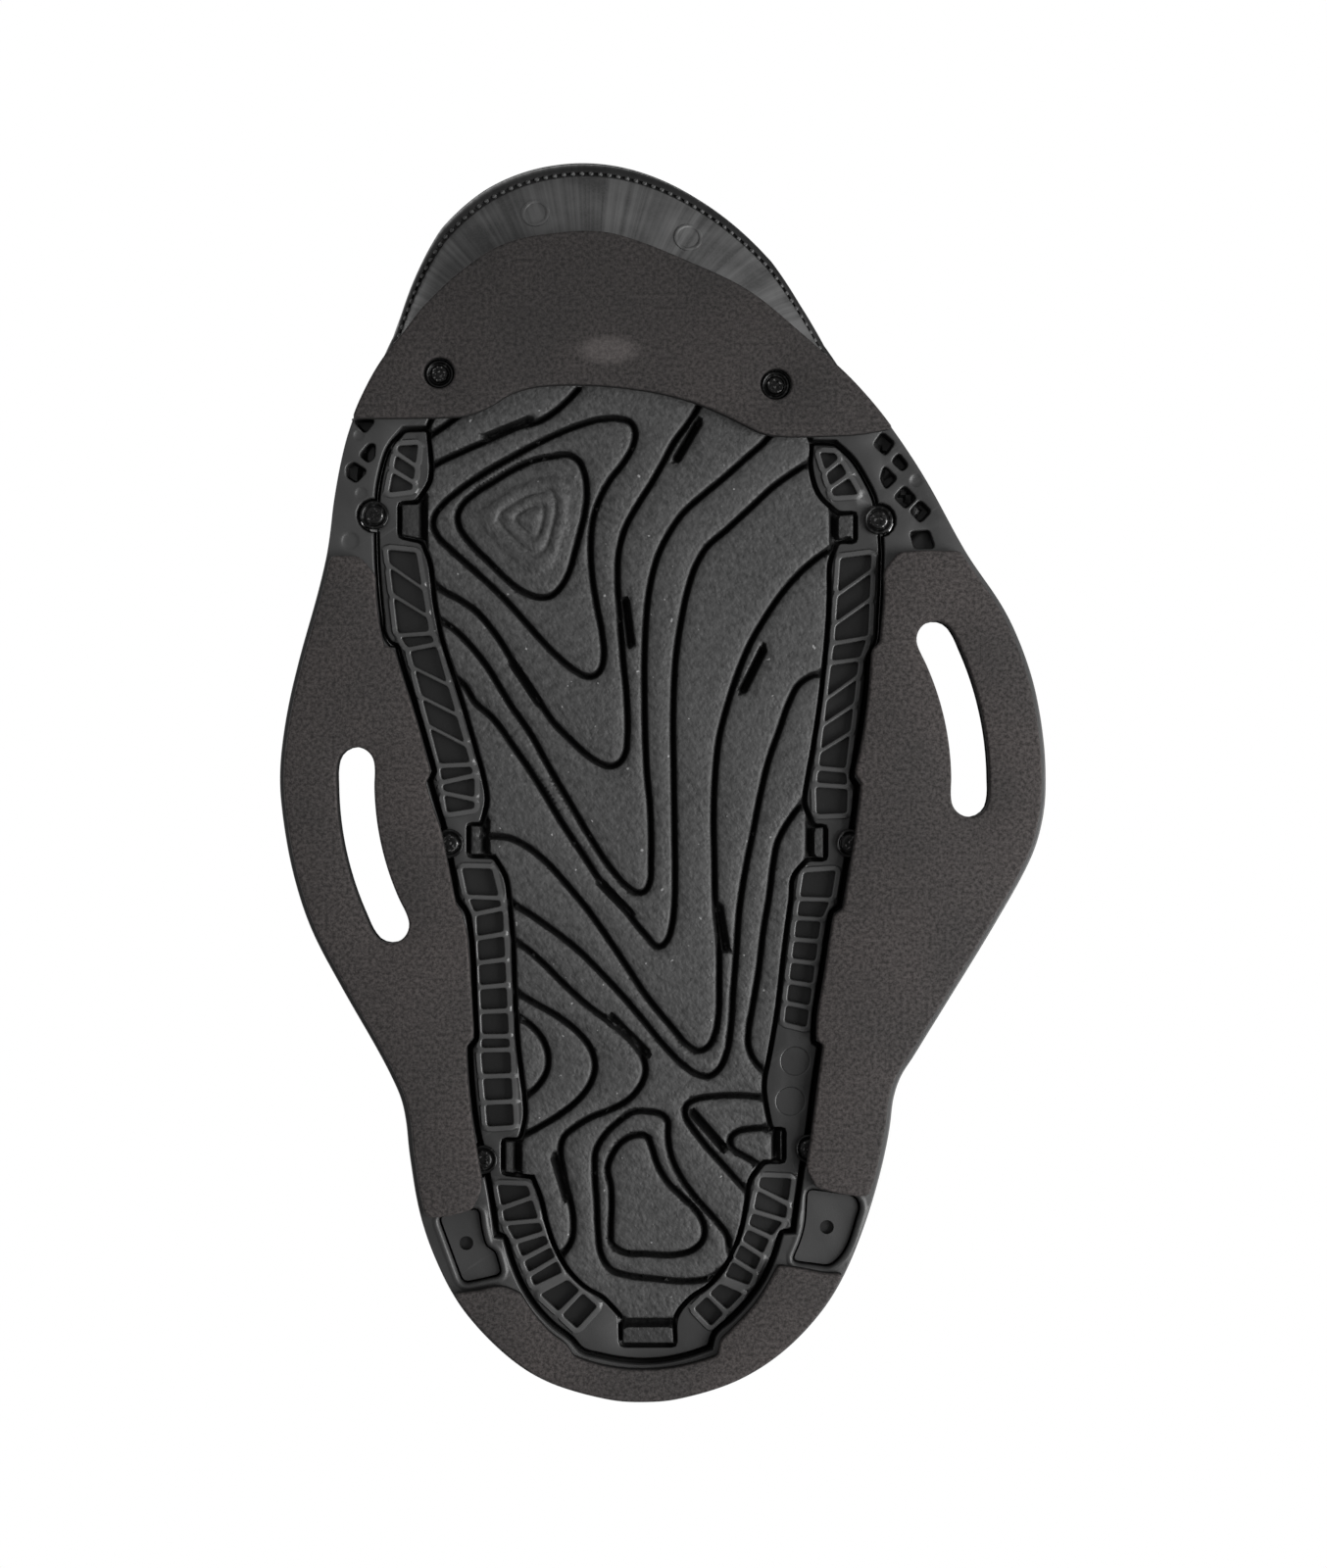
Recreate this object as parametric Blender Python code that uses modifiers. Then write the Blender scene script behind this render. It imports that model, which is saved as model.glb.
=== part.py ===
"""Left wakeboard boot: a closed-toe boot with two straps on a slotted mounting chassis.

Frame: metres, +Z up. The soft base pads stand on z = 0, the toe points to -Y and the outer side
of the foot to +X. The origin is the centre of the mounting bolt circle.
Lengths below are in millimetres and are scaled by MM where a mesh is made.
"""
import math

import bmesh
import bpy
from mathutils import Vector

MM = 0.001

# Base, from the board upwards
PAD_TOP = 3.5            # soft pads, 0 to 3.5
CHASSIS_BOTTOM = 3.8
CHASSIS_TOP = 8.5
FRAME_BOTTOM = 4.6       # the ladder frame sits a little deeper than the chassis
TREAD_BOTTOM = 3.9
FRAME_TOP = 8.2          # top of the ladder frame and of the tread
SOLE_TOP = 22.0          # top of the cupsole, where the upper starts
GAP = 0.3                # clearance between pieces that touch

# Mounting: M6 bolts on a 6 inch circle, in two curved slots turned 12 degrees
BOLT_RADIUS = 76.2
SLOT_HALF_WIDTH = 4.7
SLOT_FROM, SLOT_TO = -27.6, 3.0

# Sole screws (x, y): six hold the ladder frame, two hold the toe pad
FRAME_SCREWS = [(-71.8, -66.4), (53.7, -65.2), (-53.2, 15.3), (46.7, 15.3), (-44.8, 94.0), (36.5, 91.3)]
TOE_SCREWS = [(-55.5, -101.4), (28.0, -98.6)]
SCREW_RADIUS = 1.5
SCREW_TOP = 12.4
SCREW_HEAD_RADIUS = 2.25
SOCKET_RADIUS = 0.95
HOLE_RADIUS = SCREW_RADIUS + 0.4
WASHER_RADIUS = 3.6
WASHER_RIM = 0.8         # width of the washer's raised rim
WASHER_HEIGHT = 0.9
DISH_DEPTH = 0.4         # height of the dished floor above the washer's seat
SEAT_RADIUS = WASHER_RADIUS + 0.3
NUT_RADIUS = 2.9
NUT_CROWN_RADIUS = 2.4
NUT_LOW, NUT_SHOULDER, NUT_TOP = 8.9, 10.0, 12.2
NUT_ROOM_RADIUS = 5.0
NUT_ROOM_TOP = 13.2

# Boot shape by height z: front and back centre lines (y), leg half width, share of leg shape,
# length over which the front closes, and the same for the back
FRONT = [(8.8, -138), (12, -146), (16, -151), (22, -155.5), (32, -158), (45, -155.5), (55, -147.5),
         (62, -135), (68, -118), (75, -98), (84, -75), (95, -52), (108, -32), (124, -14),
         (142, 0), (165, 9), (190, 12), (215, 9), (250, 1)]
BACK = [(8.8, 141), (14, 146), (20, 148.5), (40, 151), (60, 150), (85, 144.5), (110, 139),
        (140, 137), (180, 139.5), (215, 144), (250, 149)]
LEG_HALF_WIDTH = [(8.8, 42), (60, 42), (110, 41), (140, 43), (190, 48), (250, 54)]
LEG_SHARE = [(8.8, 0), (40, 0), (70, 0.25), (100, 0.75), (130, 1), (250, 1)]
FRONT_CLOSE = [(8.8, 60), (32, 60), (45, 74), (55, 105), (62, 140), (75, 170), (88, 148),
               (100, 115), (124, 76), (160, 66), (250, 74)]
BACK_CLOSE = [(8.8, 40), (60, 42), (110, 52), (140, 62), (250, 74)]
# Foot half width and middle line by y, at sole height
FOOT_HALF_WIDTH = [(-160, 50), (-120, 54), (-90, 60), (-62, 63), (-30, 60), (0, 54), (30, 49),
                   (60, 45.5), (100, 43), (155, 41)]
FOOT_MIDDLE = [(-160, -20), (-115, -14.5), (-60, -9), (0, -5.5), (60, -5), (155, -4.5)]

# Inside the cupsole
CUPSOLE_WALL = 5.2
CUPSOLE_FLOOR = 18.4
BOARD_THICKNESS = 2.0
FOOTBED_INSET = 10.2
FOOTBED_TOP = 26.0

THROAT = 0.078           # half width of the tongue opening, as a share of the way round
THROAT_START = 84.0      # height where the vamp ends and the opening starts
TONGUE_HINGE = 119.0
TONGUE_LENGTH = 128.0
TOE_CAP_TOP = 56.0
CUFF_LOW, CUFF_TOP = 128.0, 229.0
COLLAR_TOP = 247.0

# Layers of the upper: inner and outer face, measured outwards from the boot's surface
LEATHER_LAYER = (-3.1, -0.1)
GUSSET_LAYER = (-4.1, -1.1)
LINING_LAYER = (-10.2, -4.9)
TONGUE_LAYER = (-7.5, -0.9)
TONGUE_TAB_LAYER = (-0.5, 0.9)
COLLAR_LAYER = (-9.0, 1.2)
COUNTER_LAYER = (0.8, 3.2)
PATCH_LAYER = (0.9, 2.0)
STRAP_BASE_LAYER = (1.0, 3.6)
STRAP_LAYER = (2.6, 5.0)
STRAP_TIP_LAYER = (2.4, 5.2)
CRADLE_LAYER = (3.6, 6.6)

# The chassis's cradle wall: its front ends, and its height at the ends, beside and behind the heel
CRADLE_FROM = 0.19
CRADLE_LOW, CRADLE_SHOULDER, CRADLE_RISE = 9.2, 8.0, 19.0
# The heel counter's top edge at its ends, and how much higher it is at the back seam
COUNTER_TOP, COUNTER_RISE = 88.0, 14.0
# The lining's lower and upper edges, and where the vamp's part of it ends
LINING_LOW, LINING_TOP, VAMP_LINING_TOP = 27.0, 228.5, 82.0

# Straps: a point of the middle plane (y, z), the width direction (y, z), half width, root and end
LOWER_STRAP = dict(at=(-45.0, 98.0), along=(0.835, 0.55), half=16.0, base=0.03,
                   root=-0.2, end=0.185)
UPPER_STRAP = dict(at=(12.0, 196.0), along=(-0.10, 0.995), half=19.0, base=0.055,
                   root=-0.215, end=0.205)

# Webbing loop at the back of the cuff
PULL_LOOP_MIDDLE = 214.0
PULL_LOOP_WIDTH = 22.0
PULL_LOOP_THICKNESS = 1.9
BACK_SEAM_X = -4.7

# Plan outlines in millimetres, each a list of smooth runs that meet in corners
CHASSIS_OUTLINE = [
    [(-64.2, -112), (-60, -117.5), (-50, -127), (-38.5, -134), (-20, -136.8), (-10, -135.6),
     (8, -128.6), (22, -121.6), (37.3, -109)],
    [(37.3, -109), (47.2, -99.8), (56, -89.5), (65.3, -75.6), (75.6, -57), (85.4, -42.2),
     (91.6, -27), (94.6, -12), (95.3, 0), (94.6, 9), (91.6, 19), (82, 36.4), (70, 56), (61.5, 69.8),
     (58, 75.8), (56.8, 84), (54.8, 94.6), (50.6, 109.2), (45, 123), (38.6, 133), (29, 142.6),
     (18, 149.3), (4, 153.6), (-5, 154.4), (-14, 153.7), (-29, 149.2), (-39.4, 142.4),
     (-50, 131), (-56.5, 119), (-60.7, 106.5), (-63.4, 90), (-64.6, 80.5), (-69.5, 69.5),
     (-80, 51), (-87.6, 36.4), (-92.2, 22), (-94.8, 7), (-95.3, -3), (-93.6, -17), (-90.4, -31),
     (-86.2, -46), (-83.4, -58), (-81.6, -72), (-78.3, -87), (-72.9, -99.8), (-66.5, -109.5),
     (-64.2, -112)],
]
# The opening for the sole frame, shared by the chassis (as a hole) and the frame's outer edge
FRAME_OUTER = [
    [(-58.5, -88), (-63.8, -88), (-66.2, -86.5), (-68.6, -82), (-70.3, -76), (-71.2, -69),
     (-71.2, -60), (-70.9, -52), (-70.1, -43), (-69, -36)],
    [(-67.8, -34.4), (-66.2, -34.2)],
    [(-65.6, -32), (-63.8, -26), (-61.2, -18), (-58.6, -9), (-56.8, -2.6)],
    [(-58, -0.4), (-56.4, 5), (-54.3, 12), (-52.6, 20.5), (-50.6, 30)],
    [(-49.2, 31.6), (-48, 36), (-47.2, 44), (-46.8, 54), (-46.3, 64)],
    [(-48, 66.2), (-47.5, 75), (-46.2, 86), (-44, 96), (-42.5, 104), (-41.3, 112.8)],
    [(-39.2, 113.2), (-37, 120.5), (-33.5, 127.8), (-28.5, 134), (-22.4, 139)],
    [(-20.6, 141.2), (-13, 143.4), (-4, 144.2), (4, 143.2), (11.8, 140.8)],
    [(12.6, 137.6), (17.5, 133), (22.5, 127.4), (26.4, 121), (29.4, 112)],
    [(32.4, 111.8), (33.4, 104), (34.8, 95), (36.3, 86), (37.4, 77), (39.1, 65.6)],
    [(37.4, 65), (37.8, 57), (39.2, 49), (40.4, 41), (41.8, 32.4)],
    [(43.9, 31), (45.4, 22), (47, 12), (48.4, 1)],
    [(46.9, -1.2), (48.6, -10), (50.1, -20), (51.2, -31)],
    [(53.2, -35), (54, -44), (54.3, -54), (54.2, -62), (52.9, -69.6), (50, -76), (46, -81.8),
     (42.4, -84.6), (37, -84.6)],
]
FRAME_INNER = [
    [(37, -84.6), (36.6, -80), (38, -74), (40, -69.8), (43.6, -67)],
    [(48, -67), (48, -60)],
    [(43.6, -60), (41.8, -56), (41.4, -44), (40.4, -31), (38.9, -18), (37, -6), (35.4, 4),
     (36, 8), (37.6, 11)],
    [(40.6, 11), (40.6, 19.2)],
    [(36, 19.2), (33, 22), (31.8, 30), (30.2, 42), (28.6, 56), (26.8, 67), (25.2, 76),
     (26.2, 83), (27, 86.6)],
    [(30.2, 86.6), (30.2, 94.6)],
    [(25.4, 94.6), (22.6, 97), (21, 104), (19.4, 112), (16.6, 119), (12, 125), (5.6, 129.6),
     (3.4, 133)],
    [(3.0, 140.4), (-10.4, 140.4)],
    [(-10.6, 133), (-14, 129.2), (-20, 125.4), (-25.4, 119), (-28.6, 111), (-30.6, 103),
     (-32.4, 98.4)],
    [(-39.8, 97.6), (-39.8, 89.2)],
    [(-35.6, 89.2), (-34.2, 83), (-34.8, 76), (-36, 66), (-36.8, 54), (-37.2, 42), (-38.2, 30),
     (-39.6, 22), (-42, 18.6)],
    [(-48.4, 18.4), (-48.4, 10.6)],
    [(-45.2, 10.6), (-43.8, 5), (-44.6, -1), (-46.8, -9), (-49.4, -18), (-52.6, -28),
     (-55.6, -38), (-57.2, -48), (-58.4, -57), (-60, -60)],
    [(-65.6, -61.2), (-65.6, -69.4)],
    [(-61.4, -69.8), (-58.4, -73.6), (-57.8, -80), (-58.5, -88)],
]
# The front edge of the tread and of its opening, under the toe pad
FRONT_EDGE = [(37, -84.6), (36, -88.5), (30, -90.5), (20, -94.5), (12, -98), (0, -100.6),
              (-20, -102), (-38, -100.8), (-50, -96.5), (-56, -93.5), (-58.5, -88)]
# Where the frame's ladder has windows: (outer point, inner point) pairs at each end of a bay,
# the number of windows in the bay and the slant of its ribs along the frame
WINDOW_BAYS = [
    ((-67.4, -85.0), (-59.2, -85.4), (-70.6, -70.6), (-60.6, -72.0), 3, 3.6),
    ((-70.4, -59.4), (-60.0, -58.2), (-67.8, -35.6), (-56.2, -36.6), 3, 5.2),
    ((-65.0, -33.4), (-55.2, -35.4), (-57.4, -3.4), (-45.8, -3.8), 4, 5.2),
    ((-57.2, 0.0), (-45.0, -2.8), (-55.2, 9.0), (-45.4, 7.6), 2, 3.0),
    ((-52.2, 20.2), (-41.2, 20.4), (-50.4, 29.2), (-38.8, 29.6), 1, 0.0),
    ((-48.4, 32.6), (-38.2, 30.4), (-46.8, 64.0), (-36.6, 64.0), 5, 0.0),
    ((-47.4, 66.2), (-36.2, 66.0), (-45.4, 87.2), (-35.4, 86.6), 3, 0.0),
    ((-43.2, 99.0), (-32.4, 99.6), (-41.2, 111.0), (-28.8, 109.6), 2, -2.4),
    ((-38.6, 114.4), (-28.2, 111.4), (-33.3, 127.6), (-22.9, 122.4), 3, -1.0),
    ((-33.3, 127.6), (-22.9, 122.4), (-21.6, 138.6), (-14.4, 130.0), 2, -1.0),
    ((12.2, 138.0), (5.8, 130.6), (22.7, 127.2), (13.2, 123.6), 2, 1.0),
    ((22.7, 127.2), (13.2, 123.6), (28.6, 113.6), (20.0, 109.6), 3, 1.0),
    ((32.2, 110.8), (20.6, 106.8), (34.0, 97.4), (22.8, 97.4), 2, 2.4),
    ((37.4, 62.8), (28.4, 60.6), (41.4, 33.6), (31.6, 33.2), 5, 0.0),
    ((43.6, 30.2), (32.2, 29.6), (45.2, 20.6), (33.4, 21.6), 1, 0.0),
    ((47.6, 8.8), (36.6, 9.4), (48.0, 0.8), (36.2, -0.2), 1, -2.6),
    ((47.2, -2.0), (37.0, -3.0), (50.8, -31.6), (40.2, -30.0), 4, -4.6),
    ((53.0, -35.6), (40.8, -33.6), (53.8, -58.2), (42.6, -56.8), 3, -4.6),
    ((51.6, -70.8), (40.4, -70.0), (43.6, -83.0), (37.4, -83.4), 3, -3.0),
]
RIB = 1.3                # width of the ladder's ribs
WALL = 1.9               # width of the ladder's side rails
WINDOW_DEPTH = 2.6
# Round register marks on the solid bay of the outer rail
BAY_MARKS = [(33.0, 69.6), (31.8, 79.6)]

# Inner edges of the pads
TOE_PAD_EDGE = [[(60, -88.4), (56, -87.6), (52, -86.6), (43.5, -85.9), (29.5, -85.7), (25.3, -86.2),
                 (17.4, -89.9), (9.6, -93.4), (0, -96.2), (-10, -97.8), (-20, -98.5), (-30, -98.2),
                 (-36, -97), (-40, -94.9), (-45, -92.0), (-50, -90.7), (-60, -90.3), (-84, -90.2)],
                [(-84, -160), (60, -160)]]
INNER_PAD_EDGE = [[(-100, -55.4), (-75.4, -55.4), (-73, -54.4), (-72, -52), (-71.6, -44),
                   (-70.4, -36), (-69.6, -33.2)],
                  [(-67.2, -32.8), (-65.2, -26), (-62.6, -18), (-60, -9), (-58.2, -2.2)],
                  [(-59.6, 0), (-57.8, 6), (-55.7, 12), (-54, 20), (-51.9, 30.8)],
                  [(-50.4, 32.4), (-49.2, 38), (-48.5, 46), (-48, 54), (-47.5, 63)],
                  [(-49.4, 65.6), (-48.9, 75), (-47.6, 86), (-45.9, 97), (-45.6, 103),
                   (-47.2, 105.3), (-56.6, 107.4), (-100, 108)]]
OUTER_PAD_EDGE = [[(100, -56.6), (70, -56.7), (58.4, -56.3), (55.6, -54), (55.4, -46),
                   (54.4, -34.4)],
                  [(52.4, -32.6), (51.4, -20), (49.9, -10), (48.2, -2.2)],
                  [(49.8, 0), (48.4, 12), (46.7, 22.6), (45.2, 31.8)],
                  [(42.8, 33.4), (41.6, 41), (40.4, 49), (39, 57), (38.6, 63.6)],
                  [(40.4, 65), (38.7, 77), (37.6, 86), (36.2, 95), (35.7, 98.6), (37.4, 99.8),
                   (48, 102), (54, 101.6), (100, 101)]]
HEEL_PAD_EDGE = [[(-70, 129), (-49.5, 126.6), (-36.4, 125), (-34.9, 127.8), (-29.6, 134.9),
                  (-23.4, 140.2)],
                 [(-22.2, 142.4), (-14, 144.9), (-4, 145.7), (5, 144.7), (13.6, 142.2)],
                 [(14.2, 138.4), (18.7, 134), (23.7, 128.3), (27.6, 121.6), (28.6, 119.8),
                  (42.6, 121.9), (70, 121)],
                 [(70, 160), (-70, 160)]]

# Blind core-outs in the chassis and its ejector marks (x, y, radius)
CHASSIS_POCKETS = [
    [(54.7, -86.6), (57.2, -84.4), (55.3, -81.8), (52.9, -84)],
    [(58.7, -81.3), (60.6, -78.9), (59.6, -77.9), (57.5, -79.8)],
    [(55.3, -78.1), (57.8, -75.6), (55.6, -73.5), (54.6, -75.6)],
    [(60.2, -73.2), (62.6, -70.7), (60.4, -68.6), (58.1, -70.9)],
    [(64.1, -69.6), (66.3, -67.4), (64.1, -65.1), (62, -67.4)],
    [(62, -61.9), (66, -62.2), (67.2, -58.6), (62.9, -58.6)],
    [(-76.5, -89.9), (-72.3, -89.9), (-74.2, -87.4)],
    [(-73, -83.8), (-72, -83.8), (-72.2, -81), (-73.3, -80), (-75, -81.4)],
    [(-77, -79.2), (-74.2, -77.4), (-76.4, -75), (-78.3, -76.2), (-78.3, -78.3)],
]
EJECTOR_MARKS = [(-75.6, -86.3, 1.5), (-75, -71.8, 1.7), (-77.8, -60, 2.4), (63, -75, 1.7)]
# Screw pockets beside the heel, each with its hole
HEEL_POCKETS = [
    ([(-55.6, 108.4), (-46, 106.4), (-45.4, 111.4), (-44.2, 116.1), (-42, 116.8), (-40.4, 122.6),
      (-49.6, 124.6)], (-49, 115)),
    ([(36.2, 101.6), (47.6, 103.2), (49, 105.6), (43.6, 118.6), (41.6, 120.4), (32.4, 119.2),
      (34.2, 115.2), (35.2, 112.1)], (40.9, 111)),
]

RUBBER = ("tread_rubber", (0.035, 0.035, 0.036), 0.72, 0.0)
NYLON = ("chassis_nylon", (0.045, 0.045, 0.047), 0.42, 0.0)
FRAME_NYLON = ("frame_nylon", (0.06, 0.06, 0.063), 0.4, 0.0)
EVA = ("base_pad_foam", (0.05, 0.047, 0.045), 0.9, 0.0)
STEEL = ("fastener_steel", (0.33, 0.33, 0.34), 0.3, 1.0)
LEATHER = ("upper_leather", (0.03, 0.03, 0.032), 0.55, 0.0)
COUNTER = ("heel_counter_plastic", (0.025, 0.025, 0.027), 0.35, 0.0)
LINING = ("lining_fabric", (0.06, 0.06, 0.065), 0.95, 0.0)
WEBBING = ("strap_webbing", (0.03, 0.03, 0.032), 0.85, 0.0)
PILE = ("fastener_pile", (0.02, 0.02, 0.021), 1.0, 0.0)
BOARD = ("lasting_fibreboard", (0.16, 0.14, 0.12), 0.9, 0.0)


# ---------------------------------------------------------------- scene and materials
for leftover in list(bpy.data.objects):
    bpy.data.objects.remove(leftover, do_unlink=True)

boot_collection = bpy.data.collections.new("wakeboard_boot")
cutter_collection = bpy.data.collections.new("wakeboard_boot_cutters")
bpy.context.scene.collection.children.link(boot_collection)
bpy.context.scene.collection.children.link(cutter_collection)


def material(slot):
    """The Principled material of a slot, made on first use."""
    name, colour, roughness, metallic = slot
    found = bpy.data.materials.get(name)
    if found:
        return found
    made = bpy.data.materials.new(name)
    made.use_nodes = True
    shader = made.node_tree.nodes["Principled BSDF"]
    shader.inputs["Base Color"].default_value = (*colour, 1.0)
    shader.inputs["Roughness"].default_value = roughness
    shader.inputs["Metallic"].default_value = metallic
    return made


def add_object(name, mesh, slot=None):
    """Link a mesh as a part with its material, or as a hidden cutter when it has no slot."""
    made = bpy.data.objects.new(name, mesh)
    if slot is None:
        cutter_collection.objects.link(made)
        made.hide_render = True
        made.display_type = "WIRE"
    else:
        boot_collection.objects.link(made)
        mesh.materials.append(material(slot))
    return made


def boolean(target, cutter, operation="DIFFERENCE"):
    """Cut, join or intersect a part with a hidden object."""
    step = target.modifiers.new(operation.lower(), "BOOLEAN")
    step.operation = operation
    step.solver = "EXACT"
    step.object = cutter
    return step


def smooth_shade(mesh, degrees=35):
    """Smooth shading with hard edges kept."""
    mesh.shade_smooth()
    mesh.set_sharp_from_angle(angle=math.radians(degrees))


# ---------------------------------------------------------------- curves and outlines
def table_value(table, at):
    """A smooth curve through the (position, value) pairs of a table, flat past its ends."""
    if at <= table[0][0]:
        return float(table[0][1])
    if at >= table[-1][0]:
        return float(table[-1][1])
    i = max(k for k in range(len(table) - 1) if table[k][0] <= at)

    def slope(k):
        low, high = max(k - 1, 0), min(k + 1, len(table) - 1)
        return (table[high][1] - table[low][1]) / (table[high][0] - table[low][0])

    (x0, y0), (x1, y1) = table[i], table[i + 1]
    span = x1 - x0
    t = (at - x0) / span
    return ((2 * t**3 - 3 * t**2 + 1) * y0 + (t**3 - 2 * t**2 + t) * span * slope(i)
            + (3 * t**2 - 2 * t**3) * y1 + (t**3 - t**2) * span * slope(i + 1))


def smooth_run(run, spacing):
    """Points about `spacing` apart on a smooth curve through the points of one run."""
    if len(run) < 3:
        return list(run)
    lengths = [0.0]
    for (xa, ya), (xb, yb) in zip(run, run[1:]):
        lengths.append(lengths[-1] + math.hypot(xb - xa, yb - ya))
    xs = [(s, p[0]) for s, p in zip(lengths, run)]
    ys = [(s, p[1]) for s, p in zip(lengths, run)]
    count = max(2, round(lengths[-1] / spacing))
    stops = [lengths[-1] * k / count for k in range(count + 1)]
    return [(table_value(xs, s), table_value(ys, s)) for s in stops]


def outline_points(runs, spacing=5.0):
    """The closed outline made of smooth runs that meet in corners."""
    points = []
    for run in runs:
        for point in smooth_run(run, spacing):
            if not points or math.dist(point, points[-1]) > 0.05:
                points.append(point)
    if math.dist(points[0], points[-1]) <= 0.05:
        points.pop()
    return points


def area(points):
    """Signed area of a closed outline."""
    return sum(a[0] * b[1] - b[0] * a[1] for a, b in zip(points, points[1:] + points[:1])) / 2


def inset(points, distance):
    """The outline moved inwards by a distance, along the bisector at each point."""
    turn = 1 if area(points) > 0 else -1
    moved = []
    for before, here, after in zip(points[-1:] + points[:-1], points, points[1:] + points[:1]):
        along = (Vector(after) - Vector(before)).normalized()
        moved.append((here[0] - turn * along.y * distance, here[1] + turn * along.x * distance))
    return moved


def arc(centre, radius, start, end, count):
    """Points on an arc, angles in degrees."""
    angles = [math.radians(start + (end - start) * k / count) for k in range(count + 1)]
    return [(centre[0] + radius * math.cos(a), centre[1] + radius * math.sin(a)) for a in angles]


def circle(centre, radius, count=24):
    """A closed circle of points."""
    return arc(centre, radius, 0, 360, count)[:-1]


def add_prism(bm, points, low, high):
    """Add a straight prism between two heights to a mesh under construction."""
    if area(points) < 0:
        points = points[::-1]
    base = bm.faces.new([bm.verts.new((x * MM, y * MM, low * MM)) for x, y in points])
    base.normal_flip()
    grown = bmesh.ops.extrude_face_region(bm, geom=[base], use_keep_orig=True)
    top = [v for v in grown["geom"] if isinstance(v, bmesh.types.BMVert)]
    bmesh.ops.translate(bm, verts=top, vec=(0, 0, (high - low) * MM))


def prisms(name, shapes, slot=None):
    """One object made of prisms, each given as (outline points, lower z, upper z)."""
    bm = bmesh.new()
    for points, low, high in shapes:
        add_prism(bm, points, low, high)
    bmesh.ops.recalc_face_normals(bm, faces=bm.faces)
    mesh = bpy.data.meshes.new(name)
    bm.to_mesh(mesh)
    bm.free()
    return add_object(name, mesh, slot)


def turned(name, profile, centre, slot=None, steps=20):
    """A turned solid: an open (radius, z) profile from the top down, spun about a vertical axis."""
    mesh = bpy.data.meshes.new(name)
    points = [(r * MM, 0.0, z * MM) for r, z in profile]
    mesh.from_pydata(points, [(i, i + 1) for i in range(len(points) - 1)], [])
    made = add_object(name, mesh, slot)
    made.location = (centre[0] * MM, centre[1] * MM, 0)
    spin = made.modifiers.new("spin", "SCREW")
    spin.steps = steps
    spin.render_steps = steps
    spin.use_merge_vertices = True
    spin.merge_threshold = 0.00001
    spin.use_smooth_shade = False
    return made


# ---------------------------------------------------------------- the boot's outer surface
def end_rounding(share):
    """How far the outline has opened, from 0 at its tip to 1 where it is full."""
    return math.sqrt(max(0.0, 1 - (1 - min(share, 1.0)) ** 2))


def boot_point(u, z):
    """A point of the upper's outer surface: u is 0 at the front, +-0.5 at the back seam."""
    front, back = table_value(FRONT, z), table_value(BACK, z)
    y = front + (back - front) * (1 - math.cos(2 * math.pi * abs(u))) / 2
    leg = table_value(LEG_SHARE, z)
    half = (1 - leg) * table_value(FOOT_HALF_WIDTH, y) + leg * table_value(LEG_HALF_WIDTH, z)
    edge = min(max(0.0, 1 - (z - 8.8) / 8), 1.0)
    half -= 7 * (1 - math.sqrt(1 - edge**2))
    centre = (1 - leg) * table_value(FOOT_MIDDLE, y) - leg * 5
    x = half * end_rounding((y - front) / table_value(FRONT_CLOSE, z))
    x *= end_rounding((back - y) / table_value(BACK_CLOSE, z))
    return Vector((centre + math.copysign(x, u), y, z))


def boot_offset(u, z, distance, level=False):
    """The surface point moved outwards along the surface normal, or along its level part."""
    step = 0.004
    side = boot_point(wrap(u + step), z) - boot_point(wrap(u - step), z)
    up = boot_point(u, z + 0.5) - boot_point(u, z - 0.5)
    normal = side.cross(up)
    if level:
        normal.z = 0
    return boot_point(u, z) + normal.normalized() * distance


def wrap(u):
    """Bring a way-round position into -0.5 to 0.5."""
    return (u + 0.5) % 1.0 - 0.5


def middle(layer):
    """Half way through a layer."""
    return (layer[0] + layer[1]) / 2


def panel(name, place, columns, rows, layer, slot=None):
    """A shell as thick as its layer, about an open grid of points place(s, t) in millimetres."""
    bm = bmesh.new()
    grid = [[bm.verts.new(place(s / columns, t / rows) * MM) for s in range(columns + 1)]
            for t in range(rows + 1)]
    for t in range(rows):
        for s in range(columns):
            bm.faces.new((grid[t][s], grid[t][s + 1], grid[t + 1][s + 1], grid[t + 1][s]))
    mesh = bpy.data.meshes.new(name)
    bm.to_mesh(mesh)
    bm.free()
    made = add_object(name, mesh, slot)
    shell = made.modifiers.new("thickness", "SOLIDIFY")
    shell.thickness = (layer[1] - layer[0]) * MM
    shell.offset = 0
    smooth_shade(mesh, 60)
    return made


def side_panel(name, side, front, back, low, high, layer, columns, rows, slot):
    """A panel on one side of the boot, from front(z) to back(z) on the way round."""
    def place(s, t):
        z = low + (high - low) * t
        u = front(z) + (back(z) - front(z)) * s
        return boot_offset(side * u, z, middle(layer))
    return panel(name, place, columns, rows, layer, slot)


def wrap_panel(name, front, low, high, layer, columns, rows, slot):
    """A panel round the back, from front(z) on the outer side to -front(z) on the inner side."""
    def place(s, t):
        z = low + (high(s) - low) * t
        start = front(z)
        return boot_offset(wrap(start + (1 - 2 * start) * s), z, middle(layer))
    return panel(name, place, columns, rows, layer, slot)


def front_panel(name, edge, low, high, layer, columns, rows, slot):
    """A panel across the front of the boot, from edge(z) on the inner side to the outer side."""
    def place(s, t):
        z = low + (high - low) * t
        return boot_offset(edge(z) * (2 * s - 1), z, middle(layer))
    return panel(name, place, columns, rows, layer, slot)


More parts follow.
